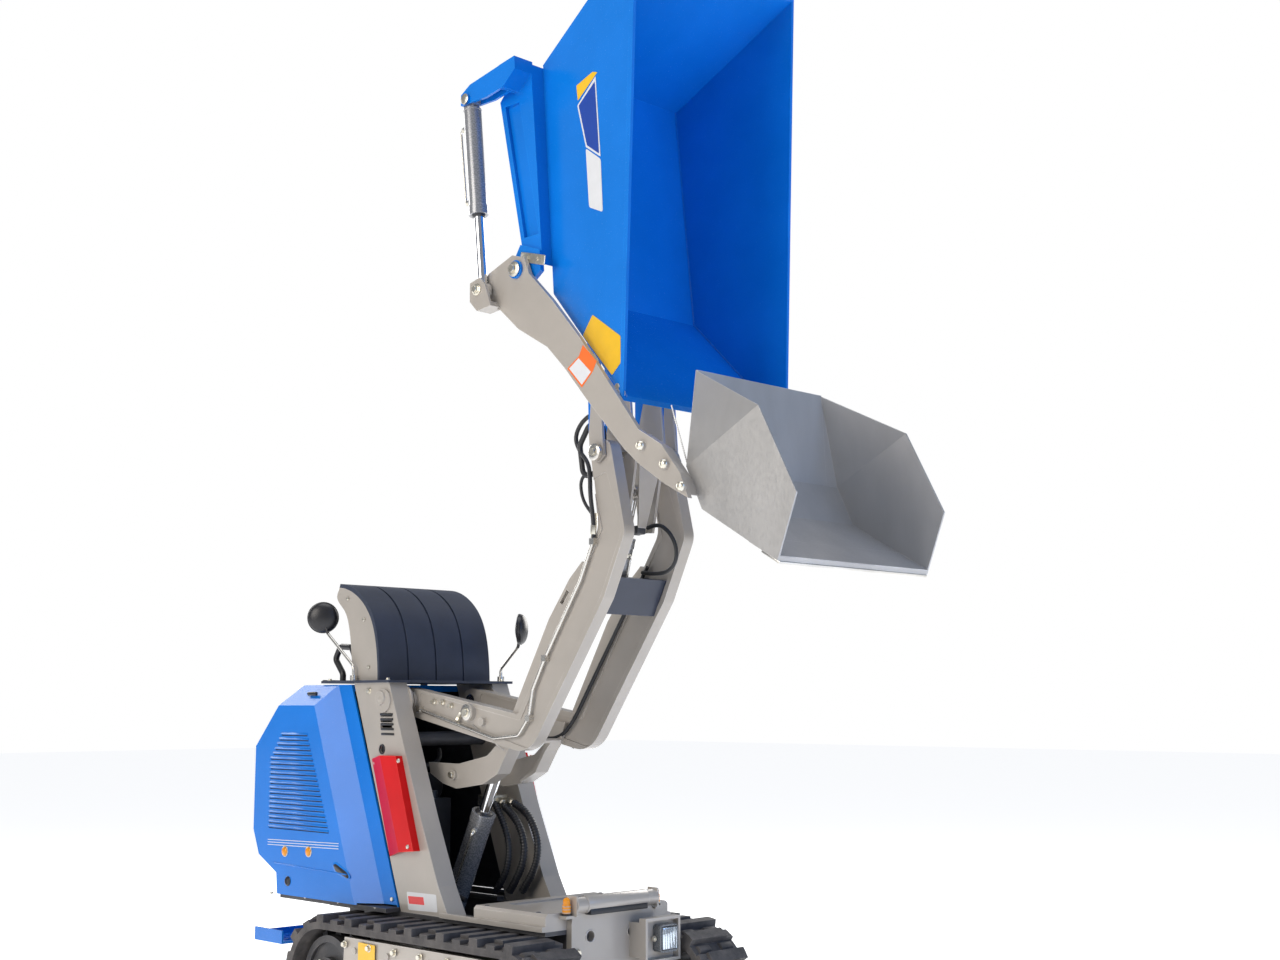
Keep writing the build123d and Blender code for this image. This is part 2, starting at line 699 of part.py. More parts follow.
def boom_cross_plate():
    """Plate between the two boom sides, with lugs for the tilt cylinder."""
    low, high = (tip[0] - 25, tip[1] - 449), (tip[0] + 26, tip[1] - 349)
    outline = [low, high, (high[0] - 12, high[1] + 4), (low[0] - 12, low[1] + 4)]
    body = plate(outline, -boom_inner, boom_inner)
    for y in (1, -1):
        lug = [(tilt_base[0] - 22, tilt_base[1] - 20), (low[0] - 8, low[1] + 6),
               (high[0] - 34, high[1] - 36),
               (tilt_base[0] + 10, tilt_base[1] + 24), (tilt_base[0] - 20, tilt_base[1] + 14)]
        body += plate(lug, y * 34, y * 44)
    body += rod_y(tilt_base, 10, -46, 46)
    return body


def boom_pins():
    """Pivot pins: two at the pillars, one at the tip, two stubs by the cylinder eye."""
    pins = []
    for y in (1, -1):
        pins.append(rod_y(boom_pivot, boom_pin_r, y * (boom_inner), y * (pillar_outer - 6)))
        stub = rod_y(lift_eye, 16, y * 34, y * boom_inner) + rod_y(lift_eye, 26, y * (boom_inner - 8),
                                                                   y * boom_inner)
        pins.append(stub)
    tip_pin = rod_y(tip, tip_pin_r, -boom_outer - 20, boom_outer + 20)
    for y in (1, -1):
        tip_pin += rod_y(tip, tip_pin_r + 9, y * (boom_outer + 15), y * (boom_outer + 22))
    return Compound(children=pins + [tip_pin])


def cylinder_pair(base, eye, barrel_r, rod_r, barrel_length, y, eye_half, pin_r, retract, rod_pin=0):
    """Hydraulic barrel and rod along the line from the base pin to the eye."""
    a, b = Vector(base[0], y, base[1]), Vector(eye[0], y, eye[1])
    unit = (b - a).normalized()
    gland = a + unit * barrel_length
    foot, face = a + unit * (pin_r + 12), gland + unit * 6
    barrel = rod_between(tuple(foot), tuple(gland), barrel_r)
    barrel += rod_between(tuple(gland - unit * 20), tuple(face), barrel_r + 2)
    barrel -= rod_between(tuple(foot + unit * 14), tuple(face + unit), rod_r + bore_gap)
    barrel += rod_y(base, pin_r + 14, y - eye_half, y + eye_half)
    barrel -= rod_y(base, pin_r + bore_gap, y - eye_half - 1, y + eye_half + 1)
    rod = rod_between(tuple(foot + unit * (24 + retract)), tuple(b), rod_r)
    rod += rod_y(eye, rod_r + 12, y - eye_half, y + eye_half)
    if rod_pin:
        rod -= rod_y(eye, rod_pin + bore_gap, y - eye_half - 1, y + eye_half + 1)
    return barrel, rod


def boom_pipe():
    """Steel pipe along the back of the right boom side, with clamps."""
    rx, rz = boom_reach_x, boom_reach_z
    y = -boom_outer - 8
    pts = shift(boom_pivot, (rx - 20, rz - 249), (rx - 72, rz - 356), (rx - 218, rz - 570),
                (rx - 270, rz - 660), (rx - 286, rz - 740), (rx - 330, rz - 790),
                (rx - 440, rz - 800), (60, -26))
    path = [(x, y, z) for x, z in pts]
    pipe = tube_along(path, 5, 18)
    for i in (0, 2, 4, 7):
        x, _, z = path[i]
        pipe += block(x - 9, x + 9, y - 7, 3 - boom_outer, z - 9, z + 9)
    return pipe


def boom_hose():
    """Flexible hose loop behind the boom tip."""
    rx, rz = boom_reach_x, boom_reach_z
    y = 20 - boom_outer
    loop = shift(boom_pivot, (rx - 6, rz + 38.2), (rx - 10, rz + 84), (rx - 66, rz + 92),
                 (rx - 106, rz + 36),
                 (rx - 90, rz - 60), (rx - 32.3, rz - 48.5))
    return tube_along([(x, y, z) for x, z in loop], 8, 26)


def boom():
    side = boom_plate()
    add("boom_plate_left", side)
    add("boom_plate_right", other_side(side))
    add("boom_straps", both_sides(boom_strap()))
    add("boom_cross_plate", boom_cross_plate())
    add("crank_frame", crank_frame())
    add("boom_pins", boom_pins())
    add("boom_pipe", boom_pipe() - other_side(side))
    add("boom_hose", boom_hose())
    barrel, rod = cylinder_pair((lift_base_x, lift_base_z), lift_eye, lift_barrel_r, lift_rod_r,
                                lift_barrel_length,
                                0, 32, 16, 265)
    add("lift_barrel", barrel)
    add("lift_rod", rod)
    barrel, rod = cylinder_pair(tilt_base, tilt_eye, 28, 12, tilt_barrel_length, 0, 16, 10, 2)
    add("tilt_barrel", barrel)
    add("tilt_rod", rod)


# ---- skip
mouth_low = (tip[0] + 289, tip[1] + 95)
mouth_high = (mouth_low[0] + 45, mouth_low[1] + skip_length)
floor_front = (tip[0] - 37, tip[1] + 440)
floor_rear = (mouth_high[0] - 436, mouth_high[1] - 250)
skip_outline = [mouth_low, floor_front, floor_rear, mouth_high]


def on_floor(z):
    """Where the skip's floor lies at a height above the tip pin."""
    (x0, z0), (x1, z1) = floor_front, floor_rear
    return x0 + (tip[1] + z - z0) * (x1 - x0) / (z1 - z0) - tip[0] - 0.05


def on_wall(z):
    """Where the skip's front wall lies at a height above the tip pin."""
    (x0, z0), (x1, z1) = mouth_low, floor_front
    return x0 + (tip[1] + z - z0) * (x1 - x0) / (z1 - z0) - tip[0] - 0.05


def inset_outline(points, insets):
    """The outline with each edge moved inwards by its own distance."""
    lines = []
    for i, (a, inset) in enumerate(zip(points, insets)):
        b = points[(i + 1) % len(points)]
        along = Vector(b[0] - a[0], b[1] - a[1]).normalized()
        lines.append((a[0] + along.Y * inset, a[1] - along.X * inset, along))
    corners = []
    for i in range(len(points)):
        (x1, z1, d1), (x2, z2, d2) = lines[i - 1], lines[i]
        t = ((x2 - x1) * d2.Y - (z2 - z1) * d2.X) / (d1.X * d2.Y - d1.Y * d2.X)
        corners.append((x1 + d1.X * t, z1 + d1.Y * t))
    return corners


def tub_solid(points, half, taper=0.12):
    """Closed tub: its half width shrinks with the depth below the mouth."""
    lean = (mouth_high[0] - mouth_low[0]) / (mouth_high[1] - mouth_low[1])
    halves = [half - taper * (mouth_low[0] + (z - mouth_low[1]) * lean - x) for x, z in points]
    left = [Vector(x, h, z) for (x, z), h in zip(points, halves)]
    right = [Vector(x, -h, z) for (x, z), h in zip(points, halves)]
    quads = [left, right]
    for i in range(4):
        j = (i + 1) % 4
        quads.append([left[i], left[j], right[j], right[i]])
    return Solid(Shell([make_face(Polyline(quad, close=True)) for quad in quads]))


def skip_shell():
    """Open tub with a folded rim round its mouth."""
    rim = 6
    body = tub_solid(skip_outline, skip_half)
    lip = tub_solid(inset_outline(skip_outline, (-rim, -rim, -rim, 0)), skip_half + rim)
    back = (mouth_low[0] - 16, mouth_low[1] - 60), (mouth_high[0] - 16, mouth_high[1] + 60)
    lip &= plate([back[0], (back[0][0] + 80, back[0][1]), (back[1][0] + 80, back[1][1]), back[1]],
                 -overall_width, overall_width)
    inner = inset_outline(skip_outline, (skip_wall, skip_wall, skip_wall, -10))
    return body + lip - tub_solid(inner, skip_half - skip_wall)


def skip_frame():
    """Rails, cylinder brackets, arm pivots and tip lugs on the skip's underside."""
    side = plate(shift(tip, (-235, 1040), (-128, 570), (-84, 545), (on_floor(520), 520),
                       (on_floor(1120), 1120),
                       (-150, 1125)), skip_half - 66, skip_half - 4)
    pocket = plate(shift(tip, (-212, 1020), (-122, 610), (-60, 610), (-150, 1020)), skip_half - 16,
                   skip_half)
    side -= pocket
    bracket = shift(tip, (-340, 1074), (-340, 1041), (-225, 1038), (-150, 1050), (on_floor(1090), 1090),
                    (on_floor(1128), 1128), (-300, 1096))
    for y in (arm_cyl_y - 20, arm_cyl_y + 12):
        side += plate(bracket, y, y + 8)
    web = shift(tip, (-170, 1050), (-150, 1050), (on_floor(1090), 1090), (on_floor(1128), 1128),
                (-170, 1118))
    side += plate(web, skip_half - 10, arm_cyl_y + 20)
    side += rod_y(arm_cyl_top, 14, arm_cyl_y - 20, arm_cyl_y + 24)
    tab = shift(tip, (-170, 530), (-140, 470), (-100, 462), (on_floor(500), 500), (on_floor(560), 560),
                (-130, 590))
    side += plate(tab, skip_half - 10, skip_half + 4)
    side += rod_y(arm_pivot, arm_pin_r, skip_half - 8, arm_y + arm_plate + 2)
    side += rod_y(arm_pivot, arm_pin_r + 8, arm_y + arm_plate + 0.5, arm_y + arm_plate + 7)
    side += rod_y(arm_pivot, arm_pin_r + 10, skip_half, arm_y - 0.5)
    lug = shift(tip, (-28, -10), (-34, 60), (-46, 440), (on_wall(438), 438), (on_wall(408), 408),
                (26, -10), (0, -30))
    side += plate(lug, boom_outer + 3, boom_outer + 13) - rod_y(tip, tip_pin_r + bore_gap, 0, skip_half)
    side += plate(shift(tip, (-46, 440), (on_wall(438), 438), (on_wall(373), 373), (-46, 390)),
                  boom_outer - 12, boom_outer + 13)
    lever = shift(tip, (-64, 16), (62, 12), (20, -214), (-34, -212))
    cheek = plate(lever, 48, 56) - rod_y(tip, tip_pin_r + bore_gap, 0, 60)
    cheek += rod_y(tilt_eye, 10, 20, 50)
    lift = shift(tip, (-60, 10), (-62, 440), (on_wall(438), 438), (on_wall(375), 375), (58, 10))
    cheek += plate(lift, 58, 66) - rod_y(tip, tip_pin_r + bore_gap, 0, 70)
    cheek += plate(lever[:2] + shift(tip, (58, 30), (-60, 40)), 48, 66) - rod_y(tip, 40, 0, 70)
    side += cheek
    return both_sides(side)


def skip():
    add("skip_shell", skip_shell())
    add("skip_frame", skip_frame())
    for name, flip in (("left", False), ("right", True)):
        barrel, rod = cylinder_pair(arm_cyl_top, arm_clevis, arm_cyl_r, arm_rod_r, arm_barrel_length,
                                    arm_cyl_y, 11, 14, 42, 12)
        add("arm_barrel_" + name, other_side(barrel) if flip else barrel)
        add("arm_rod_" + name, other_side(rod) if flip else rod)


# ---- arms and shovel
def shovel_arm():
    """Arm plate from its pivot on the skip to the shovel."""
    outline = shift(arm_pivot, (-150, -8), (-120, 12), (-20, 46), (30, 30), (52, -20), (149, -113),
                    (260, -235),
                    (403, -410), (484, -512), (566, -560), (632, -640), (660, -706), (580, -664),
                    (491, -606),
                    (433, -558), (292, -411), (205, -314), (131, -242), (9, -172), (-70, -104),
                    (-150, -80))
    body = plate(outline, arm_y, arm_y + arm_plate) - rod_y(arm_pivot, arm_pin_r + bore_gap, 0,
                                                            overall_width)
    cheek = shift(arm_clevis, (-32, 24), (10, 34), (34, 10), (60, -56), (0, -62), (-32, -30))
    body += plate(cheek, arm_cyl_y + 15.5, arm_cyl_y + 23)
    body += plate(shift(arm_clevis, (60, -56), (0, -62), (-8, -44), (44, -38)), arm_y, arm_cyl_y + 23)
    body -= rod_y(arm_clevis, 11, arm_y - 1, arm_y + 30)
    for x, z in ((499, -558), (582, -614), (642, -676)):
        body += rod_y((arm_pivot[0] + x, arm_pivot[1] + z), 13, arm_y + arm_plate, arm_y + arm_plate + 9)
    body += plate(shift(arm_pivot, (484, -520), (560, -566), (626, -646), (650, -696), (584, -658),
                        (498, -602)),
                  shovel_width / 2, arm_y)
    return body


def shovel():
    """Shovel with folded side plates, a floor and a back."""
    half = shovel_width / 2
    crown = half - 52
    lip, nose, top = (906, -874), (967, -714), (850, -490)
    heel, back, crest = (662, -730), (609, -617), (551, -452)
    peak = (595, -360)

    def at(point, y):
        return Vector(arm_pivot[0] + point[0], y, arm_pivot[1] + point[1])

    lower = plate(shift(arm_pivot, lip, nose, top, back, heel), half - shovel_wall, half)
    upper_points = [at(back, half), at(top, half), at(peak, crown)]
    normal = (upper_points[1] - upper_points[0]).cross(upper_points[2] - upper_points[0]).normalized()
    inward = normal * (-shovel_wall if normal.Y > 0 else shovel_wall)
    upper = extrude(make_face(Polyline(upper_points, close=True)), amount=shovel_wall, dir=tuple(inward))
    side = lower + upper
    floor = plate(shift(arm_pivot, heel, lip, (lip[0] + 4, lip[1] + 10), (heel[0] + 3, heel[1] + 8)),
                  -half, half)
    rear = plate(shift(arm_pivot, heel, (heel[0] + 6, heel[1] + 4), (back[0] + 6, back[1] + 2), back),
                 -half, half)
    hood = plate(shift(arm_pivot, back, (back[0] + 6, back[1] + 1), (peak[0] + 6, peak[1]), peak),
                 -crown, crown)
    for s in (1, -1):
        corner = [at(back, s * half), at(back, s * crown), at(peak, s * crown)]
        gusset = make_face(Polyline(corner, close=True))
        side_gusset = extrude(gusset, amount=5, dir=(1, 0, 0))
        hood += side_gusset
    edge = plate(shift(arm_pivot, lip, (lip[0] + 4, lip[1] + 12), (lip[0] - 86, lip[1] + 64),
                       (lip[0] - 90, lip[1] + 52)),
                 -half, half)
    return side + other_side(side) + floor + rear + hood + edge


def arms():
    arm = shovel_arm()
    add("shovel_arm_left", arm)
    add("shovel_arm_right", other_side(arm))
    add("shovel", shovel())


undercarriage()
chassis()
boom()
skip()
arms()

os.makedirs("parts", exist_ok=True)
for name, shape in nodes.items():
    export_step(shape, "parts/" + name + ".step")
print(len(nodes), "nodes")
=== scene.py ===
import json
import math
import bmesh
import bpy
from mathutils import Matrix, Vector


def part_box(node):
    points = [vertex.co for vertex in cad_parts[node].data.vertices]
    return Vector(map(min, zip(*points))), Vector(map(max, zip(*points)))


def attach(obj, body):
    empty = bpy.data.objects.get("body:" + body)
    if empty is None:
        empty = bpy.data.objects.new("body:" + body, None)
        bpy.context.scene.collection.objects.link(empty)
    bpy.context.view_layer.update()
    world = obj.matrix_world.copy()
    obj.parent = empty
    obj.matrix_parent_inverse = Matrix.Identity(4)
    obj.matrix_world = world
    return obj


# Looks of the tracked power wheelbarrow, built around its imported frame.
# Places are given in millimetres and turned into metres by mm().

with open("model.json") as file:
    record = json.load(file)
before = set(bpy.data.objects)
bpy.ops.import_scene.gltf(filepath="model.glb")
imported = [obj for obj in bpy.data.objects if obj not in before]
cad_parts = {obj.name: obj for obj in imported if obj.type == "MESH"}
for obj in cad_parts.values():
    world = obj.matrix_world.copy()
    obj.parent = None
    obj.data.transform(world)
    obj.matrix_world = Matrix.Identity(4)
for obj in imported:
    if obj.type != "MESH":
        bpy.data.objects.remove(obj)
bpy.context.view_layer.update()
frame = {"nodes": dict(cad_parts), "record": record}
SIDES = ((1, "left"), (-1, "right"))

# Places that several pieces share, in millimetres: half widths out to a face, and (x, z) of pivots.
HOOD_SIDE = 300
HOOD_BACK = -954
PILLAR_FACE = 238
WHEEL_X = 421
WHEEL_Z = 190
BELT_RADIUS = 168
BELT_MIDDLE = 305
ARM_FACE = 352.2
SHOVEL_SEAM = 298
TIP_PIN = (523, 1705)
BOOM_PIN = (-335, 1015)
ARM_PIN = (402, 2217)
ARM_CLEVIS = (273, 2176)
ARM_BARREL_TOP = (209, 2759)
MIRROR_HEADS = {"left": (-254, 242, 1247), "right": (-668, -244, 1283)}
LAMP_SIZE = (3.0, 3.0)


# ---- camera and light
def set_camera():
    lens = bpy.data.cameras.new("camera")
    lens.lens = 46.2
    lens.sensor_width = 36
    lens.clip_end = 60
    camera = bpy.data.objects.new("camera", lens)
    bpy.context.scene.collection.objects.link(camera)
    camera.location = (3.832, -3.291, 1.004)
    camera.rotation_euler = Vector((-0.7006, 0.7006, 0.1354)).to_track_quat("-Z", "Y").to_euler()
    bpy.context.scene.camera = camera


def softbox(name, place, target, size, power, colour):
    lamp = bpy.data.lights.new(name, "AREA")
    lamp.shape = "RECTANGLE"
    lamp.size, lamp.size_y = size
    lamp.energy = power
    lamp.color = colour
    holder = bpy.data.objects.new(name, lamp)
    bpy.context.scene.collection.objects.link(holder)
    holder.location = place
    holder.rotation_euler = (Vector(target) - Vector(place)).to_track_quat("-Z", "Y").to_euler()


def set_studio():
    scene = bpy.context.scene
    scene.view_settings.view_transform = "Standard"
    world = bpy.data.worlds.new("studio")
    world.use_nodes = True
    scene.world = world
    tree = world.node_tree
    sky = tree.nodes["Background"]
    sky.inputs["Color"].default_value = (0.86, 0.91, 1.0, 1)
    sky.inputs["Strength"].default_value = 0.3
    backdrop = tree.nodes.new("ShaderNodeBackground")
    backdrop.inputs["Color"].default_value = (1, 1, 1, 1)
    backdrop.inputs["Strength"].default_value = 1.0
    seen = tree.nodes.new("ShaderNodeLightPath")
    mix = tree.nodes.new("ShaderNodeMixShader")
    tree.links.new(seen.outputs["Is Camera Ray"], mix.inputs[0])
    tree.links.new(sky.outputs[0], mix.inputs[1])
    tree.links.new(backdrop.outputs[0], mix.inputs[2])
    tree.links.new(mix.outputs[0], tree.nodes["World Output"].inputs["Surface"])
    softbox("key", (0.1, -5.2, 3.2), (-0.1, 0, 1.3), LAMP_SIZE, 150, (1.0, 0.94, 0.86))
    softbox("front_fill", (5.2, 0.6, 2.6), (0, 0, 1.2), LAMP_SIZE, 80, (0.26, 0.50, 1.0))
    softbox("far_fill", (-1.5, 5.0, 3.0), (0, 0, 1.2), LAMP_SIZE, 130, (1.0, 0.97, 0.92))
    softbox("rear_fill", (-5.0, 0.5, 3.0), (0, 0, 1.2), LAMP_SIZE, 120, (1.0, 0.98, 0.95))
    softbox("top", (0.3, -0.4, 6.0), (0, 0, 0), (4.0, 4.0), 110, (1, 1, 1))
    shape = bmesh.new()
    bmesh.ops.create_grid(shape, x_segments=1, y_segments=1, size=30)
    mesh = bpy.data.meshes.new("floor")
    shape.to_mesh(mesh)
    shape.free()
    white = surface("floor_white", (0.86, 0.86, 0.86), 0.8, grain=3, shade=0.01)
    white.node_tree.nodes["Principled BSDF"].inputs["Emission Color"].default_value = (1, 1, 1, 1)
    white.node_tree.nodes["Principled BSDF"].inputs["Emission Strength"].default_value = 0.72
    mesh.materials.append(white)
    floor = bpy.data.objects.new("floor", mesh)
    scene.collection.objects.link(floor)


# ---- finishes
def add_node(tree, kind, **values):
    node = tree.nodes.new(kind)
    for name, value in values.items():
        node.inputs[name.replace("_", " ")].default_value = value
    return node


def blend_colours(tree, factor, first, second):
    mix = tree.nodes.new("ShaderNodeMix")
    mix.data_type = "RGBA"
    tree.links.new(factor, mix.inputs[0])
    for socket, colour in ((mix.inputs[6], first), (mix.inputs[7], second)):
        if isinstance(colour, tuple):
            socket.default_value = (*colour[:3], 1)
        else:
            tree.links.new(colour, socket)
    return mix.outputs[2]


def scaled(tree, value, low, high, to_low, to_high):
    node = add_node(tree, "ShaderNodeMapRange", From_Min=low, From_Max=high, To_Min=to_low, To_Max=to_high)
    tree.links.new(value, node.inputs["Value"])
    return node.outputs[0]


def times(tree, first, second):
    node = tree.nodes.new("ShaderNodeMath")
    node.operation = "MULTIPLY"
    tree.links.new(first, node.inputs[0])
    tree.links.new(second, node.inputs[1])
    return node.outputs[0]


def surface(name, colour, roughness, metallic=0.0, grain=9, shade=0.1, fine=260, bump=0.0, coat=0.0,
            stretch=None, wear_and_edge_highlight=None, dusty=0.0, dust=(0.30, 0.26, 0.21), gloss=0.5):
    """Finish whose colour and roughness wander a little, with a fine bump, dust, and edges lighter partly
    from real wear and partly from a painted edge highlight.
    """
    material = bpy.data.materials.new(name)
    material.use_nodes = True
    tree = material.node_tree
    shader = tree.nodes["Principled BSDF"]
    shader.inputs["Metallic"].default_value = metallic
    shader.inputs["Coat Weight"].default_value = coat
    shader.inputs["Coat Roughness"].default_value = 0.08
    shader.inputs["Specular IOR Level"].default_value = gloss
    place = tree.nodes.new("ShaderNodeTexCoord").outputs["Object"]
    if stretch:
        mapping = add_node(tree, "ShaderNodeMapping", Scale=stretch)
        tree.links.new(place, mapping.inputs["Vector"])
        place = mapping.outputs[0]
    cloud = add_node(tree, "ShaderNodeTexNoise", Scale=grain, Detail=5.0, Roughness=0.6)
    grit = add_node(tree, "ShaderNodeTexNoise", Scale=fine, Detail=3.0, Roughness=0.55)
    for noise in (cloud, grit):
        tree.links.new(place, noise.inputs["Vector"])
    dark = tuple(c * (1 - shade) for c in colour)
    light = tuple(min(1.0, c * (1 + shade) + shade * 0.01) for c in colour)
    tint = blend_colours(tree, scaled(tree, cloud.outputs[0], 0.3, 0.7, 0, 1), dark, light)
    rough = scaled(tree, grit.outputs[0], 0.3, 0.7, roughness * 0.86, min(1.0, roughness * 1.16))
    # Edges blend towards a lighter colour: real wear on the bare steels, a painted edge highlight on the
    # paints.
    if wear_and_edge_highlight:
        bevel = add_node(tree, "ShaderNodeBevel", Radius=0.0035)
        bevel.samples = 4
        flat = tree.nodes.new("ShaderNodeNewGeometry").outputs["Normal"]
        dot = tree.nodes.new("ShaderNodeVectorMath")
        dot.operation = "DOT_PRODUCT"
        tree.links.new(bevel.outputs[0], dot.inputs[0])
        tree.links.new(flat, dot.inputs[1])
        edge = scaled(tree, dot.outputs["Value"], 0.99, 0.86, 0, 1)
        chips_and_highlight = scaled(tree, cloud.outputs[0], 0.44, 0.6, 0.15, 0.85)
        tint = blend_colours(tree, times(tree, edge, chips_and_highlight), tint, wear_and_edge_highlight)
    if dusty:
        height = tree.nodes.new("ShaderNodeSeparateXYZ")
        tree.links.new(tree.nodes.new("ShaderNodeTexCoord").outputs["Object"], height.inputs[0])
        low = scaled(tree, height.outputs["Z"], 0.5, 0.0, 0.08 * dusty, dusty)
        patch = scaled(tree, cloud.outputs[0], 0.36, 0.68, 0.2, 1)
        tint = blend_colours(tree, times(tree, low, patch), tint, dust)
    tree.links.new(tint, shader.inputs["Base Color"])
    tree.links.new(rough, shader.inputs["Roughness"])
    if bump:
        relief = add_node(tree, "ShaderNodeBump", Strength=0.6, Distance=bump / 1000)
        tree.links.new(grit.outputs[0], relief.inputs["Height"])
        tree.links.new(relief.outputs[0], shader.inputs["Normal"])
    return material


def lens(name, colour, roughness, clear):
    """Clear or tinted lamp plastic over its ribs."""
    material = surface(name, colour, roughness, grain=30, shade=0.05)
    shader = material.node_tree.nodes["Principled BSDF"]
    shader.inputs["Transmission Weight"].default_value = clear
    shader.inputs["IOR"].default_value = 1.49
    return material


# The worn colours below light up the edges: wear on bare steel, a painted edge highlight on the paints.
BLUE = surface("blue_paint", (0.0005, 0.165, 0.62), 0.24, gloss=0.3, coat=0.16, shade=0.07, grain=4,
               bump=0.03, wear_and_edge_highlight=(0.01, 0.28, 0.80), dusty=0.1)
FRAME = surface("frame_grey", (0.42, 0.385, 0.345), 0.36, metallic=0.2, coat=0.3, shade=0.07, grain=5,
                bump=0.04, wear_and_edge_highlight=(0.72, 0.70, 0.67), dusty=0.25)
RED = surface("red_paint", (0.55, 0.001, 0.003), 0.32, gloss=0.2, coat=0.06, shade=0.08, bump=0.03,
              wear_and_edge_highlight=(0.9, 0.10, 0.07))
GUARD = surface("dark_guard", (0.022, 0.030, 0.055), 0.42, coat=0.15, shade=0.12, fine=520, bump=0.09,
                wear_and_edge_highlight=(0.07, 0.08, 0.11))
RUBBER = surface("track_rubber", (0.045, 0.043, 0.047), 0.72, shade=0.3, grain=16, fine=240, bump=0.5,
                 wear_and_edge_highlight=(0.13, 0.12, 0.12), dusty=0.42)
DARK = surface("dark_steel", (0.055, 0.057, 0.065), 0.5, metallic=0.35, shade=0.2, bump=0.12,
               wear_and_edge_highlight=(0.25, 0.25, 0.26), dusty=0.45)
CYLINDER = surface("cylinder_grey", (0.27, 0.275, 0.29), 0.27, metallic=0.45, coat=0.5, shade=0.06, bump=0.03,
                   wear_and_edge_highlight=(0.6, 0.6, 0.6))
CHROME = surface("chrome_rod", (0.80, 0.81, 0.83), 0.07, metallic=1.0, shade=0.03, fine=900, bump=0.005)
SHOVEL = surface("shovel_steel", (0.47, 0.46, 0.45), 0.36, metallic=0.62, shade=0.10, grain=5, fine=170,
                 stretch=(1, 1, 0.35), bump=0.05, wear_and_edge_highlight=(0.85, 0.84, 0.82))
AMBER = lens("amber_lens", (1.0, 0.36, 0.01), 0.14, 0.25)
LAMP = lens("lamp_lens", (0.86, 0.92, 1.0), 0.05, 0.85)
PLASTIC = surface("black_plastic", (0.014, 0.014, 0.017), 0.33, shade=0.2, fine=600, bump=0.05)
HOSE = surface("hose_rubber", (0.018, 0.019, 0.022), 0.46, shade=0.2, fine=700, bump=0.06)
STEEL = surface("pin_steel", (0.62, 0.60, 0.56), 0.26, metallic=1.0, shade=0.1, fine=400, bump=0.03,
                wear_and_edge_highlight=(0.85, 0.83, 0.8))
ZINC = surface("zinc_fitting", (0.72, 0.68, 0.58), 0.3, metallic=1.0, shade=0.15, grain=60, fine=400,
               bump=0.03)
IRON = surface("engine_iron", (0.085, 0.085, 0.092), 0.6, metallic=0.3, shade=0.25, grain=24, bump=0.4)
WELD = surface("weld_seam", (0.43, 0.42, 0.40), 0.4, metallic=0.35, shade=0.16, grain=60, bump=0.08)
BLUE_WELD = surface("blue_weld_seam", (0.0005, 0.15, 0.57), 0.3, gloss=0.3, coat=0.16, shade=0.1,
                    grain=60, bump=0.05)
# Painted shade: near-black blue standing in for the shade inside the hood's grille slots.
LOUVRE_SHADE = surface("grille_painted_shade", (0.004, 0.022, 0.075), 0.6, shade=0.2, grain=40)
# Painted shade: near-black for the shaded inside faces of the hood.
HOOD_INSIDE_SHADE = surface("hood_inside_painted_shade", (0.018, 0.02, 0.028), 0.7, shade=0.25, grain=30, bump=0.2)
MIRROR = surface("mirror_glass", (0.86, 0.89, 0.92), 0.02, metallic=1.0, shade=0.01)
LABEL_WHITE = surface("label_white", (0.66, 0.67, 0.69), 0.35, coat=0.3, shade=0.03, grain=30)
LABEL_BLUE = surface("label_blue", (0.008, 0.05, 0.32), 0.35, coat=0.3, shade=0.03, grain=30)
LABEL_YELLOW = surface("label_yellow", (0.80, 0.47, 0.01), 0.35, coat=0.3, shade=0.04, grain=30)
LABEL_ORANGE = surface("label_orange", (0.80, 0.15, 0.02), 0.35, coat=0.3, shade=0.04, grain=30)
LABEL_RED = surface("label_red", (0.75, 0.03, 0.03), 0.35, coat=0.3, shade=0.04, grain=30)
FINISHES = {
    "blue_paint": BLUE, "frame_grey": FRAME, "red_paint": RED, "dark_guard": GUARD, "track_rubber": RUBBER,
    "dark_steel": DARK, "cylinder_grey": CYLINDER, "chrome_rod": CHROME, "shovel_steel": SHOVEL,
    "amber_lens": AMBER, "lamp_lens": LAMP, "black_plastic": PLASTIC, "hose_rubber": HOSE, "pin_steel": STEEL,
    "engine_iron": IRON,
}


def dress_frame():
    """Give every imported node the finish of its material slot."""
    slots = {part["node"]: part["material_slot"] for part in frame["record"]["subparts"]}
    for name, node in frame["nodes"].items():
        node.data.materials.clear()
        node.data.materials.append(FINISHES[slots[name]])


def repaint(name, finish, picked):
    """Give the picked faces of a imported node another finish."""
    node = frame["nodes"][name]
    node.data.materials.append(finish)
    last = len(node.data.materials) - 1
    for face in node.data.polygons:
        place = node.matrix_world @ face.center
        if picked(place * 1000, face.normal):
            face.material_index = last


def paint_faces():
    """Grey tip lugs under the blue skip frame, painted shade on the inside faces of the hood and bright
    mirror stalks.
    """
    def low_lug(place, normal):
        return place.z < 1935 and abs(place.y) < 170

    # Faces looking towards the middle of the hood get the near-black painted shade.
    def inside_in_shade(place, normal):
        towards = Vector((-600, 0, 735)) - place
        return towards.dot(normal) > 0 and abs(place.y) < 296

    repaint("skip_frame", FRAME, low_lug)
    def stalk(centre):
        return lambda place, normal: (place - Vector(centre)).length > 62

    repaint("hood_shell", HOOD_INSIDE_SHADE, inside_in_shade)
    for name, head in MIRROR_HEADS.items():
        repaint("mirror_" + name, STEEL, stalk(head))


# ---- shaping
def mm(x, y, z):
    return Vector((x, y, z)) / 1000


def facing(axis):
    """Matrix that turns +Z to the axis."""
    return Vector((0, 0, 1)).rotation_difference(Vector(axis)).to_matrix().to_4x4()


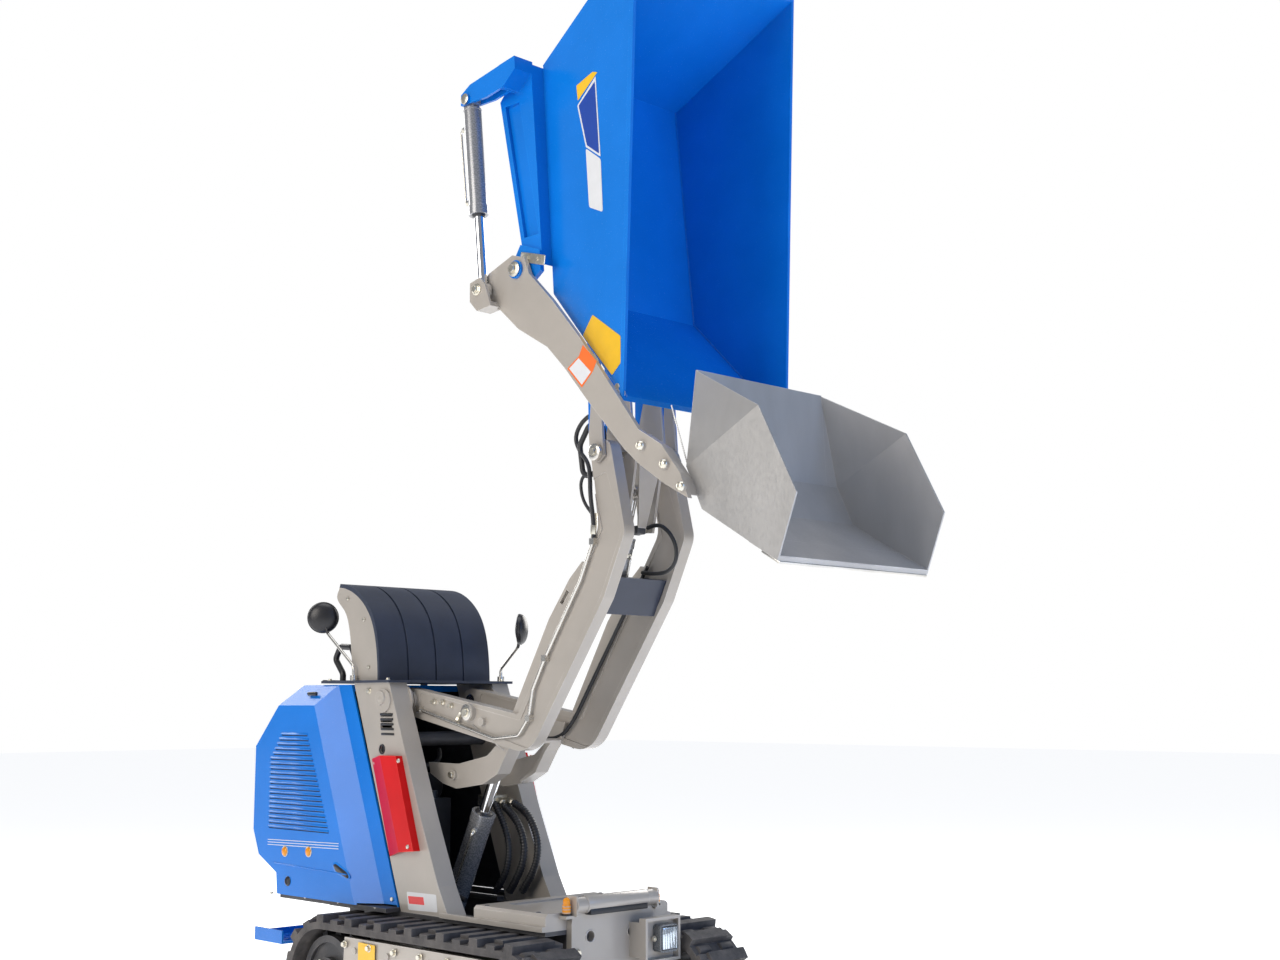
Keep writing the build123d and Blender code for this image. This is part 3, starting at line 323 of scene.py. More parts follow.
def soften(shape, edges, width, segments=2):
    bmesh.ops.bevel(shape, geom=edges, offset=width / 1000, offset_type="OFFSET", segments=segments,
                    profile=0.5, affect="EDGES", material=-1, clamp_overlap=True)


def put_in(shape, part, place=None):
    """Add a part's geometry to the shape, turned and moved by the matrix."""
    if place is not None:
        part.transform(place)
    mesh = bpy.data.meshes.new("part")
    part.to_mesh(mesh)
    part.free()
    shape.from_mesh(mesh)
    bpy.data.meshes.remove(mesh)


def block(shape, low, high, bevel=1.0):
    low, high = [min(a, b) for a, b in zip(low, high)], [max(a, b) for a, b in zip(low, high)]
    part = bmesh.new()
    size = Vector(high) - Vector(low)
    bmesh.ops.create_cube(part, size=1, matrix=Matrix.Diagonal((*(size / 1000), 1)))
    if bevel:
        soften(part, part.edges[:], min(bevel, min(size) * 0.45))
    put_in(shape, part, Matrix.Translation((mm(*low) + mm(*high)) / 2))


def rod(shape, start, end, radius, sides=20, bevel=0.8):
    start, end = mm(*start), mm(*end)
    part = bmesh.new()
    bmesh.ops.create_cone(part, cap_ends=True, segments=sides, radius1=radius / 1000,
                          radius2=radius / 1000, depth=(end - start).length)
    if bevel:
        soften(part, [e for e in part.edges if e.calc_face_angle(0) > 1.1], bevel)
    put_in(shape, part, Matrix.Translation((start + end) / 2) @ facing(end - start))


def turned(shape, centre, axis, profile, sides=28):
    """Turned part: (radius, height) points spun about the axis."""
    part = bmesh.new()
    points = [part.verts.new(mm(r, 0, h)) for r, h in profile]
    edges = [part.edges.new(pair) for pair in zip(points, points[1:])]
    bmesh.ops.spin(part, geom=points + edges, cent=(0, 0, 0), axis=(0, 0, 1), angle=math.tau, steps=sides,
                   use_merge=True)
    bmesh.ops.remove_doubles(part, verts=part.verts[:], dist=1e-6)
    bmesh.ops.recalc_face_normals(part, faces=part.faces[:])
    put_in(shape, part, Matrix.Translation(mm(*centre)) @ facing(axis))


def ring(shape, centre, axis, radius, thick, sides=28, round_steps=8):
    part = bmesh.new()
    upright = Matrix.Translation(mm(radius, 0, 0)) @ Matrix.Rotation(math.pi / 2, 4, "X")
    made = bmesh.ops.create_circle(part, segments=round_steps, radius=thick / 1000, matrix=upright)
    bmesh.ops.spin(part, geom=made["verts"] + part.edges[:], cent=(0, 0, 0), axis=(0, 0, 1), angle=math.tau,
                   steps=sides, use_merge=True)
    bmesh.ops.recalc_face_normals(part, faces=part.faces[:])
    put_in(shape, part, Matrix.Translation(mm(*centre)) @ facing(axis))


def bolt(shape, centre, axis, across=12.0, height=7.0):
    """Hexagon head on its washer."""
    r = across / 1.732
    turned(shape, centre, axis, [(0, 0), (r * 1.35, 0), (r * 1.35, 1.2), (r * 1.25, 1.8), (0, 1.8)])
    part = bmesh.new()
    bmesh.ops.create_cone(part, cap_ends=True, segments=6, radius1=r / 1000, radius2=r / 1000,
                          depth=height / 1000, matrix=Matrix.Translation(mm(0, 0, height / 2 + 1.5)))
    soften(part, [e for e in part.edges if e.calc_face_angle(0) > 0.5], 0.8, 1)
    put_in(shape, part, Matrix.Translation(mm(*centre)) @ facing(axis))


def prism(shape, outline, y_start, y_end, bevel=1.0, corner=0.0):
    """Flat plate from an outline of (x, z) points, thickened across the machine."""
    part = bmesh.new()
    face = part.faces.new([part.verts.new(mm(x, y_start, z)) for x, z in outline])
    if corner:
        bmesh.ops.bevel(part, geom=part.verts[:], offset=corner / 1000, offset_type="OFFSET", segments=4,
                        profile=0.5, affect="VERTICES", material=-1)
        face = part.faces[:][0]
    made = bmesh.ops.extrude_face_region(part, geom=[face])
    far = [v for v in made["geom"] if isinstance(v, bmesh.types.BMVert)]
    bmesh.ops.translate(part, verts=far, vec=mm(0, y_end - y_start, 0))
    bmesh.ops.recalc_face_normals(part, faces=part.faces[:])
    if bevel:
        soften(part, [e for e in part.edges if e.calc_face_angle(0) > 0.9], bevel)
    put_in(shape, part)


def sticker(shape, corners, out, thick=0.5, corner=0.0):
    """Thin label on a wall: its corners lie on the wall and it grows outwards."""
    part = bmesh.new()
    face = part.faces.new([part.verts.new(mm(*place)) for place in corners])
    if corner:
        bmesh.ops.bevel(part, geom=part.verts[:], offset=corner / 1000, offset_type="OFFSET", segments=4,
                        profile=0.5, affect="VERTICES", material=-1)
        face = part.faces[:][0]
    made = bmesh.ops.extrude_face_region(part, geom=[face])
    far = [v for v in made["geom"] if isinstance(v, bmesh.types.BMVert)]
    bmesh.ops.translate(part, verts=far, vec=Vector(out).normalized() * thick / 1000)
    bmesh.ops.recalc_face_normals(part, faces=part.faces[:])
    put_in(shape, part)


def weld(shape, start, end, radius=3.0, pitch=5.0):
    """Rippled bead along a seam."""
    start, end = Vector(start), Vector(end)
    count = max(2, int((end - start).length / pitch))
    along = (end - start).normalized()
    for i in range(count):
        part = bmesh.new()
        bmesh.ops.create_icosphere(part, subdivisions=1, radius=radius / 1000)
        place = (start + along * ((i + 0.5) * (end - start).length / count)) / 1000
        squash = Matrix.Diagonal((1, 1, 0.95 * pitch / radius * 0.75, 1))
        put_in(shape, part, Matrix.Translation(place) @ facing(along) @ squash)


def finished(name, shape, body, finish):
    """Make the shape a piece that rides on its body."""
    mesh = bpy.data.meshes.new(name)
    shape.to_mesh(mesh)
    shape.free()
    mesh.shade_smooth()
    mesh.set_sharp_from_angle(angle=math.radians(35))
    mesh.materials.append(finish)
    piece = bpy.data.objects.new(name, mesh)
    bpy.context.scene.collection.objects.link(piece)
    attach(piece, body)
    return piece


def route(name, points, radius):
    """Smooth round line through the air near the points."""
    curve = bpy.data.curves.new(name, "CURVE")
    curve.dimensions = "3D"
    spline = curve.splines.new("NURBS")
    spline.points.add(len(points) - 1)
    for control, place in zip(spline.points, points):
        control.co = (*mm(*place), 1)
    spline.order_u = 3
    spline.use_endpoint_u = True
    spline.resolution_u = 10
    curve.bevel_depth = radius / 1000
    curve.bevel_resolution = 3
    curve.use_fill_caps = True
    return curve


def hose(name, points, radius, body, finish=HOSE):
    curve = route(name, points, radius)
    curve.materials.append(finish)
    piece = bpy.data.objects.new(name, curve)
    bpy.context.scene.collection.objects.link(piece)
    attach(piece, body)
    return piece


def wrapped_hose(name, points, radius, body, pitch=9.0):
    """Hose inside a spiral guard: rings close together along its route."""
    hose(name, points, radius, body)
    line = bpy.data.objects.new("line", route("line", points, 0))
    bpy.context.scene.collection.objects.link(line)
    path = bpy.data.meshes.new_from_object(line)
    places = [v.co.copy() * 1000 for v in path.vertices]
    bpy.data.objects.remove(line)
    bpy.data.meshes.remove(path)
    shape = bmesh.new()
    gone = pitch
    for here, ahead in zip(places, places[1:]):
        step = ahead - here
        while gone < step.length:
            ring(shape, here + step.normalized() * gone, step, radius + 0.6, 1.9, 12, 5)
            gone += pitch
        gone -= step.length
    return finished(name + "_guard", shape, body, PLASTIC)


# ---- hood and engine side
def grille():
    """Louvres pressed into both sides of the hood, over dark strips that are painted shade in the slots."""
    blades, dark = bmesh.new(), bmesh.new()
    for side, _ in SIDES:
        for i in range(20):
            z = 610 + 15.6 * i
            front = -520 - (z - 600) * 0.44
            rear = -852 - (12 if z < 840 else -0.72 * (z - 840))
            # Dark strip in the slot's pocket: painted shade.
            block(dark, (rear + 1, side * 297.2, z - 2.8), (front - 1, side * 297.9, z + 2.8), 0)
            part = bmesh.new()
            size = Matrix.Diagonal(((front - rear) / 1000, 0.005, 0.0075, 1))
            bmesh.ops.create_cube(part, size=1, matrix=size)
            top = [v for v in part.verts if v.co.z > 0 and v.co.y * side > 0]
            bmesh.ops.translate(part, verts=top, vec=mm(0, -side * 3.2, 0))
            soften(part, part.edges[:], 0.5, 1)
            put_in(blades, part, Matrix.Translation(mm((front + rear) / 2, side * 300.5, z + 4.6)))
    finished("hood_louvres", blades, "chassis", BLUE)
    finished("hood_louvre_slot_shade", dark, "chassis", LOUVRE_SHADE)


def hood_fittings():
    amber, dark, trim, bright, pale = (bmesh.new() for _ in range(5))
    for side, _ in SIDES:
        out = (0, side, 0)
        for x, z in ((-764, 539), (-631, 546)):
            turned(amber, (x, side * HOOD_SIDE, z), out,
                   [(0, 0), (14, 0), (14, 3), (11, 6), (5, 7.5), (0, 7.8)])
            ring(bright, (x, side * 300.5, z), out, 15.5, 1.8)
        prism(dark, [(-496, 514), (-484, 519), (-424, 497), (-410, 484), (-418, 478), (-482, 497)],
              side * 299.5, side * 301, 0.3, 5)
        prism(trim, [(-503, 516), (-486, 526), (-420, 502), (-402, 484), (-415, 472), (-486, 492)],
              side * 299, side * 300.6, 0.4, 7)
        for x, y, z, axis in ((-743, 300, 447, (0, side, 0)), (-378, 276, 450, (0.55, side * 0.8, 0.2))):
            turned(dark, (x, side * y, z), axis,
                   [(0, 0), (15, 0), (15, 2), (12, 4.5), (9, 5), (8, 2.5), (0, 2.5)])
        for z in (554, 562, 570):
            prism(pale, [(-866, z), (-470, z + 9), (-470, z + 11), (-866, z + 2)],
                  side * 299.8, side * 300.4, 0)
        rod(trim, (-830, side * 299.5, 500), (-424, side * 299.5, 490), 2.6, 10)
        rod(trim, (-424, side * 299.5, 490), (-344, side * 245, 487), 2.6, 10)
        block(dark, (-690, side * 274, 1032), (-640, side * 284, 1044), 4)
        for x in (-900, -700, -520, -330):
            bolt(bright, (x + 40, side * 285, 403), (0, 0, -1), 10, 4)
    finished("hood_reflectors", amber, "chassis", AMBER)
    finished("hood_plugs", dark, "chassis", PLASTIC)
    finished("hood_creases", trim, "chassis", BLUE)
    finished("hood_bolts", bright, "chassis", ZINC)
    finished("hood_stripes", pale, "chassis", LABEL_WHITE)


def hood_back():
    """Rear cover with its seam, hinges, latch and air slots; the dark strips in the slots are painted shade.
    """
    seam, dark, metal = bmesh.new(), bmesh.new(), bmesh.new()
    x = HOOD_BACK
    for y in (-236, 236):
        rod(seam, (x, y, 612), (x, y, 856), 2.4, 10)
    for z in (612, 856):
        rod(seam, (x, -236, z), (x, 236, z), 2.4, 10)
    for i in range(9):
        z = 650 + 16 * i
        # Dark strip in the air slot: painted shade.
        block(dark, (x - 1.2, -150, z - 3), (x + 2, 150, z + 3), 0.5)
        block(seam, (x - 5, -152, z + 3), (x + 1, 152, z + 7), 1.5)
    turned(dark, (x, 0, 826), (-1, 0, 0), [(0, 0), (20, 0), (20, 3), (16, 5), (14, 2), (0, 2)])
    block(metal, (x - 8, -4, 812), (x - 2, 4, 840), 1.5)
    for y in (-190, 190):
        rod(metal, (x - 4, y - 24, 612), (x - 4, y + 24, 612), 6, 16)
    finished("hood_back_seams", seam, "chassis", BLUE)
    # Painted shade of the air slots, together with the dark lock cap.
    finished("hood_back_slot_shade_and_lock_cap", dark, "chassis", PLASTIC)
    finished("hood_back_latch", metal, "chassis", STEEL)


def pillar_details():
    dark, metal, white, mark, zinc = (bmesh.new() for _ in range(5))
    for side, _ in SIDES:
        out = (0, side, 0)
        y = side * PILLAR_FACE
        for i in range(5):
            z = 975 - 15 * i
            lean = (982 - z) * 0.14
            block(dark, (-354 + lean, y, z - 4.5), (-290 + lean, y + side * 3, z + 2.5), 1.4)
        turned(metal, (-345, y + side * 0.5, 1020), out,
               [(0, 0), (21, 0), (21, 3), (17, 8), (9, 11.5), (0, 12.5)])
        ring(dark, (-341, y, 868), out, 13.5, 2.2)
        turned(dark, (-341, y - side * 7, 868), out, [(0, 0), (12, 0), (12, 0.8), (0, 0.8)])
        bolt(zinc, (-415, y, 1046), out, 13, 7)
        bolt(zinc, (-268, y, 425), out, 12, 7)
        sticker(white, [(-203, y, 452), (-62, y, 454), (-54, y, 404), (-193, y, 400)][::side], out, 0.6, 5)
        sticker(mark, [(-196, y, 440), (-122, y, 442), (-116, y, 420), (-190, y, 418)][::side], out, 0.9)
        for x, z in ((-368, 826), (-222, 836), (-168, 586), (-268, 566)):
            turned(zinc, (x, y + side * (5 if x < -260 else 26), z), out,
                   [(0, 0), (7, 0), (7, 1), (5.5, 3.2), (0, 4)], 16)
        weld(metal, (-12, side * 236, 398), (-60, side * 236, 480), 2.4, 4.5)
        weld(metal, (-222, side * 236, 394), (-16, side * 236, 394), 2.6, 4.5)
    finished("pillar_vents", dark, "chassis", PLASTIC)
    finished("pillar_domes", metal, "chassis", FRAME)
    finished("pillar_labels", white, "chassis", LABEL_WHITE)
    finished("pillar_label_marks", mark, "chassis", LABEL_RED)
    finished("pillar_bolts", zinc, "chassis", ZINC)


def console_details():
    """Edge seal of the guard, gauges, key switch, boots under the levers and grips."""
    seal, dark, metal, glass, red = (bmesh.new() for _ in range(5))
    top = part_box("console_plate")[1].z * 1000
    block(seal, (-660, -246, top - 3), (-655, 246, top + 3), 1.5)
    for y in (-34, 34, -86):
        for i in range(4):
            r = 20 - 3.4 * i
            turned(seal, (-608, y, top + 1 + 5 * i), (0, 0, 1),
                   [(r - 4, 0), (r, 1), (r + 1, 2.5), (r, 4), (r - 4, 5)])
    for y in (60, 105):
        turned(dark, (-520, y, top), (0, 0, 1),
               [(0, 0), (24, 0), (24, 12), (22, 15), (19, 15), (18, 12), (0, 12)])
        turned(glass, (-520, y, top + 12), (0, 0, 1), [(0, 0), (18, 0), (17, 1.5), (0, 2)])
    turned(metal, (-530, -60, top), (0, 0, 1), [(0, 0), (14, 0), (14, 5), (10, 8), (10, 12), (0, 12)])
    block(metal, (-532, -66, top + 12), (-528, -54, top + 30), 1.5)
    turned(red, (-520, -120, top), (0, 0, 1),
           [(0, 0), (8, 0), (8, 12), (20, 13), (21, 18), (17, 23), (0, 25)])
    for y in (-225.5, 225.5):
        side = math.copysign(1, y)
        for x, z in ((-560, 1340), (-470, 1270), (-440, 1120)):
            turned(metal, (x, y, z), (0, side, 0), [(0, 0), (6, 0), (6, 1), (4.5, 2.8), (0, 3.4)], 16)
    for x in (-640, -330):
        for y in (-230, 230):
            bolt(metal, (x, y, top), (0, 0, 1), 10, 5)
    finished("console_seals", seal, "chassis", HOSE)
    finished("console_gauges", dark, "chassis", PLASTIC)
    finished("console_switch", metal, "chassis", ZINC)
    finished("console_gauge_glass", glass, "chassis", LAMP)
    finished("console_stop_button", red, "chassis", LABEL_RED)
    for name, y in (("drive_lever_left", 34), ("drive_lever_right", -34), ("hydraulic_lever", -86)):
        grip = bmesh.new()
        for i in range(6):
            t = i / 5
            ring(grip, (-619.5 - 6.5 * t, y, 1200 + 40 * t), (-8, 0, 50), 13.2, 1.6, 20, 6)
        turned(grip, (-627, y, 1244), (-8, 0, 50), [(14, -4), (14.5, 0), (11, 5), (5, 7.5), (0, 8)])
        finished(name + "_grip_rings", grip, name, HOSE)


def mirror_details():
    for side, name in SIDES:
        place = Vector(MIRROR_HEADS[name])
        axis = Vector((-0.75, -0.62 * side, 0))
        rim, glass = bmesh.new(), bmesh.new()
        turned(rim, place, axis,
               [(46, 2), (50.5, 1), (51, 4), (49.5, 6.5), (46.5, 6), (46, 4.5), (46, 2)], 40)
        turned(glass, place, axis, [(0, 3.5), (46.5, 3.5), (46.5, 4.6), (24, 5.3), (0, 5.5)], 40)
        finished("mirror_rim_" + name, rim, "mirror_" + name, PLASTIC)
        finished("mirror_glass_" + name, glass, "mirror_" + name, MIRROR)


# ---- running gear
def track_details():
    """Raised tread blocks, bolts on the wheels and frames, and labels."""
    label = bmesh.new()
    for side, name in SIDES:
        rubber, pieces = bmesh.new(), bmesh.new()
        steps = 38
        for i in range(steps):
            place, out = belt_place((i + 0.5) / steps)
            along = Vector((-out.z, 0, out.x))
            for y in (side * BELT_MIDDLE - 46, side * BELT_MIDDLE + 46):
                part = bmesh.new()
                bmesh.ops.create_cube(part, size=1, matrix=Matrix.Diagonal((0.030, 0.052, 0.012, 1)))
                low = [v for v in part.verts if v.co.z > 0]
                bmesh.ops.scale(part, verts=low, vec=(0.62, 0.86, 1))
                soften(part, part.edges[:], 2, 1)
                turn = Matrix((along, Vector((0, 1, 0)), out)).transposed().to_4x4()
                spot = place + Vector((0, y / 1000, 0)) + out * 0.003
                put_in(rubber, part, Matrix.Translation(spot) @ turn)
        finished("track_tread_" + name, rubber, "chassis", RUBBER)
        for body, x in (("drive_sprocket_", -WHEEL_X), ("idler_wheel_", WHEEL_X)):
            outer = max(abs(v) for v in (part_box(body + name)[0].y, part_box(body + name)[1].y)) * 1000
            cap = bmesh.new()
            for i in range(6):
                turn = i * math.tau / 6
                place = (x + 52 * math.cos(turn), side * (outer - 0.5), WHEEL_Z + 52 * math.sin(turn))
                bolt(cap, place, (0, side, 0), 13, 8)
            finished(body + name + "_bolts", cap, body + name, ZINC)
        low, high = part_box("track_frame_" + name)
        outer = side * max(abs(low.y), abs(high.y)) * 1000
        for x in (-300, -180, -60, 60, 180, 300):
            bolt(pieces, (x, outer, 305), (0, side, 0), 14, 8)
        for x in (-300, 300):
            bolt(pieces, (x, outer, 90), (0, side, 0), 14, 8)
        finished("track_frame_bolts_" + name, pieces, "chassis", ZINC)
        corners = [(-232, outer, 318), (-150, outer, 316), (-150, outer, 262), (-232, outer, 262)]
        sticker(label, corners[::side], (0, side, 0), 0.7, 4)
    finished("track_frame_labels", label, "chassis", LABEL_YELLOW)


def belt_place(share):
    """Point on the belt's outer face, across its middle, and the way it faces."""
    half, radius, middle = WHEEL_X / 1000, BELT_RADIUS / 1000, WHEEL_Z / 1000
    straight, bend = 2 * half, math.pi * radius
    s = (share % 1) * 2 * (straight + bend)
    if s < straight:
        return Vector((-half + s, 0, middle + radius)), Vector((0, 0, 1))
    s -= straight
    if s < bend:
        turn = s / radius
        out = Vector((math.sin(turn), 0, math.cos(turn)))
        return Vector((half, 0, middle)) + out * radius, out
    s -= bend
    if s < straight:
        return Vector((half - s, 0, middle - radius)), Vector((0, 0, -1))
    s -= straight
    turn = s / radius
    out = Vector((-math.sin(turn), 0, -math.cos(turn)))
    return Vector((-half, 0, middle)) + out * radius, out


# ---- front of the chassis
def front_details():
    metal, dark, glass, shine, grey = (bmesh.new() for _ in range(5))
    low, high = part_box("headlight")
    low, high = low * 1000, high * 1000
    middle = (low + high) / 2
    x = high.x
    block(dark, (x - 6, low.y + 4, low.z + 4), (x + 1, high.y - 4, high.z - 4), 3)
    block(shine, (x + 0.5, low.y + 9, low.z + 9), (x + 1.6, high.y - 9, high.z - 9), 0.4)
    for i in range(6):
        y = low.y + 12 + i * (high.y - low.y - 24) / 5
        block(glass, (x + 1.4, y - 4.6, low.z + 8), (x + 4.2, y + 4.6, high.z - 8), 2)
    for y in (low.y - 4, high.y + 4):
        bolt(metal, (middle.x - 4, y, middle.z), (0, math.copysign(1, y - middle.y), 0), 11, 5)
    for y in (-90, 70):
        ring(grey, (437, y, 370), (1, 0, 0), 16.5, 2.2)
    for y in (-140, 140):
        for z in (215, 330):
            bolt(metal, (437, y, z), (1, 0, 0), 15, 9)
    for y in (-174, 174):
        for z in (440, 449, 457):
            ring(grey, (431, y, z), (0, 0, 1), 12.3, 1.0, 28, 6)
        turned(dark, (431, y, 432), (0, 0, 1), [(12, 0), (14, 0), (14, 5), (12, 6)])
    for y in (-154, 154):
        weld(grey, (418, y, 432), (458, y, 432), 2.6, 4.5)
    rod(grey, (440, -118, 458), (440, 118, 458), 24, 28)
    block(dark, (428, -112, 430), (463, 112, 447), 4)
    finished("front_bolts", metal, "chassis", ZINC)
    finished("front_bumper_pads", dark, "chassis", HOSE)
    finished("work_light_glass", glass, "chassis", LAMP)
    finished("work_light_reflector", shine, "chassis", MIRROR)
    finished("front_rings", grey, "chassis", FRAME)


def tray_details():
    mat, metal = bmesh.new(), bmesh.new()
    low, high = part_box("chassis_tray")
    low, high = low * 1000, high * 1000
    z = high.z
    for side in (-1, 1):
        for x in (150, 370):
            turned(metal, (x, side * 222, z), (0, 0, 1), [(0, 0), (7, 0), (6, 2), (0, 3)], 16)
    for i in range(12):
        x = 160 + 19 * i
        block(mat, (x, -144, z - 10.5), (x + 9, 144, z - 6.5), 1.5)
    finished("tray_mat", mat, "chassis", HOSE)
    finished("tray_bolts", metal, "chassis", DARK)


def step_details():
    """Raised grip pattern on the fold-up step, with its bolts."""
    grip, metal = bmesh.new(), bmesh.new()
    for i in range(5):
        for j in range(14):
            x, y = -1022 + 32 * i, -208 + 32 * j
            part = bmesh.new()
            bmesh.ops.create_cube(part, size=1, matrix=Matrix.Diagonal((0.024, 0.006, 0.003, 1)))
            top = [v for v in part.verts if v.co.z > 0]
            bmesh.ops.scale(part, verts=top, vec=(0.6, 0.4, 1))
            lean = math.radians(45 if (i + j) % 2 else -45)
            put_in(grip, part, Matrix.Translation(mm(x, y, 241.2)) @ Matrix.Rotation(lean, 4, "Z"))
    for y in (-45, 45):
        bolt(metal, (-870, y, 244), (0, 0, 1), 12, 5)
    finished("step_grip", grip, "operator_platform", BLUE)
    finished("step_bolts", metal, "operator_platform", ZINC)


# ---- boom and cylinders
def boom_details():
    metal, zinc, seam = (bmesh.new() for _ in range(3))
    for side, _ in SIDES:
        out = (0, side, 0)
        turned(zinc, (BOOM_PIN[0], side * 148, BOOM_PIN[1]), out, [(0, 0), (30, 0), (30, 3), (24, 6), (0, 6)])
        bolt(zinc, (BOOM_PIN[0], side * 154, BOOM_PIN[1]), out, 24, 8)
        turned(metal, (-38, side * 154, 981), out,
               [(0, 0), (24, 0), (24, 3), (18, 5), (10, 5), (9, 2), (0, 2)])
        bolt(zinc, (-38, side * 158, 981), out, 20, 6)
        turned(metal, (TIP_PIN[0], side * 162, TIP_PIN[1]), out,
               [(0, 0), (24, 0), (24, 4), (19, 7), (12, 7), (11, 4), (0, 4)])
        bolt(zinc, (TIP_PIN[0], side * 166, TIP_PIN[1]), out, 20, 7)
        for x, z in ((-170, 1010), (-128, 1000), (-212, 1012)):
            turned(zinc, (x, side * 137, z), out, [(0, 0), (9, 0), (9, 6), (7, 8), (7, 14), (0, 14)], 6)
        bolt(zinc, (-159, side * 108, 792), out, 18, 9)
        weld(seam, (-28, side * 139, 944), (118, side * 139, 872), 2.4, 4.5)
    rod(zinc, (-85, -152, 955), (-85, -138, 978), 7, 6)
    finished("boom_bosses", metal, "boom", STEEL)
    finished("boom_bolts", zinc, "boom", ZINC)
    finished("boom_welds", seam, "boom", WELD)


def boom_hoses():
    """Hoses that lie along the boom and loop behind its tip."""
    hose("tip_hose_outer", [(494, -118, 1796), (470, -118, 1830), (418, -118, 1806), (393, -118, 1764),
                            (417, -120, 1722), (462, -128, 1684), (484, -142, 1640), (494, -151, 1590),
                            (503, -151, 1540), (507, -149, 1500), (504, -148, 1462)], 6.5, "boom")
    hose("tip_hose_inner", [(476, -112, 1650), (438, -112, 1662), (412, -112, 1640), (416, -112, 1600),
                            (438, -114, 1562), (478, -118, 1530)], 5, "boom")
    hose("centre_hose_high", [(505, 44, 1500), (560, 46, 1520), (612, 48, 1490), (640, 50, 1440),
                              (628, 52, 1390), (570, 52, 1368), (500, 50, 1380)], 6, "boom")
    hose("centre_hose_low", [(430, -44, 1392), (480, -46, 1400), (520, -46, 1440), (540, -44, 1490),
                             (520, -40, 1530), (480, -38, 1540)], 6, "boom")
    zinc = bmesh.new()
    for start, end in (((494, -118, 1776), (494, -118, 1800)), ((507, -149, 1502), (504, -148, 1476)),
                       ((478, -118, 1540), (478, -118, 1514)), ((497, 44, 1498), (516, 44, 1504)),
                       ((424, -44, 1391), (444, -44, 1394))):
        rod(zinc, start, end, 8.5, 6)
        rod(zinc, start, Vector(start).lerp(Vector(end), 1.5), 6.5, 16)
    finished("boom_hose_fittings", zinc, "boom", ZINC)
    for side in (-1, 1):
        hose("boom_side_hose_" + ("right" if side < 0 else "left"),
             [(-230, side * 92, 985), (-120, side * 92, 962), (0, side * 92, 915), (80, side * 92, 898),
              (150, side * 92, 930), (240, side * 92, 1060), (330, side * 92, 1190), (420, side * 92, 1320),
              (480, side * 92, 1400)], 6, "boom")


def cylinder_details(body_barrel, base, eye, barrel_length, barrel_r, rod_r, y, port):
    """Wiper, weld rings, ports and pipe on the barrel of one hydraulic cylinder."""
    a, b = Vector((base[0], y, base[1])), Vector((eye[0], y, eye[1]))
    along = (b - a).normalized()
    across = Vector(port).normalized()
    gland = a + along * barrel_length
    zinc, dark, seam = bmesh.new(), bmesh.new(), bmesh.new()
    turned(dark, gland + along * 6, along, [(rod_r + 0.6, 0), (barrel_r * 0.8, 0), (barrel_r * 0.74, 4),
                                            (rod_r + 3, 6), (rod_r + 0.6, 6)])
    ring(seam, gland - along * 21, along, barrel_r + 0.4, 1.5, 32, 6)
    ring(seam, a + along * (barrel_r * 0.9 + 8), along, barrel_r * 0.98, 2.4, 32, 6)
    for offset in (barrel_length * 0.22, barrel_length - 44):
        foot = a + along * offset + across * (barrel_r - 2)
        rod(seam, foot, foot + across * 12, 9, 20)
        rod(zinc, foot + across * 11, foot + across * 22, 8, 6)
    finished(body_barrel + "_wiper", dark, body_barrel, PLASTIC)
    finished(body_barrel + "_rings", seam, body_barrel, CYLINDER)
    finished(body_barrel + "_ports", zinc, body_barrel, ZINC)
    start = a + along * (barrel_length * 0.22) + across * (barrel_r + 18)
    end = a + along * (barrel_length - 44) + across * (barrel_r + 14)
    rise = across * 12
    line = [start, start + rise, start + rise + along * 20, end + rise - along * 20, end + rise, end]
    hose(body_barrel + "_pipe", line,
         3.4 if barrel_r < 34 else 4.5, body_barrel, STEEL)


def chassis_hoses():
    """Guarded hoses between the pillars, from the pump to the cylinders."""
    wrapped_hose("lift_hose_outer", [(-150, 130, 700), (-96, 134, 680), (-52, 138, 620), (-40, 140, 560),
                                     (-60, 138, 490), (-110, 134, 430)], 10, "chassis")
    wrapped_hose("lift_hose_inner", [(-170, 108, 690), (-120, 110, 660), (-84, 112, 610), (-74, 114, 556),
                                     (-92, 112, 490), (-140, 110, 430)], 10, "chassis")
    wrapped_hose("lift_hose_back", [(-190, 86, 700), (-150, 86, 650), (-122, 88, 590), (-118, 88, 530),
                                    (-140, 86, 470), (-180, 86, 430)], 9, "chassis")
    hose("pump_hose_high", [(-420, -120, 760), (-370, -120, 800), (-330, -118, 760), (-320, -112, 680),
                            (-300, -100, 560), (-240, -90, 450)], 8, "chassis")
    hose("pump_hose_low", [(-430, -90, 700), (-380, -92, 690), (-340, -92, 620), (-300, -90, 520),
                           (-200, -84, 440), (-120, -80, 420)], 8, "chassis")
    hose("cross_hose", [(-440, 60, 860), (-400, 40, 830), (-390, -20, 810), (-400, -80, 820),
                        (-440, -110, 850)], 7, "chassis")
    zinc = bmesh.new()
    for y, x in ((130, -150), (108, -170), (86, -190)):
        rod(zinc, (x - 26, y, 706), (x - 2, y, 698), 11, 6)
        rod(zinc, (x - 50, y, 708), (x - 24, y, 706), 8, 16)
    block(zinc, (-250, 66, 690), (-200, 150, 722), 4)
    finished("hose_block", zinc, "chassis", ZINC)


# ---- skip
SKIP_HALF, SKIP_TAPER = 328, 0.12


def skip_wall_y(x, z):
    """Half width of the skip's side wall at a point of it."""
    return SKIP_HALF - SKIP_TAPER * (812 + (z - 1800) * 0.035 - x)


def on_skip(points, side, off):
    """Points of the skip's side wall, a little outside it."""
    return [(x, side * (skip_wall_y(x, z) + off), z) for x, z in points]


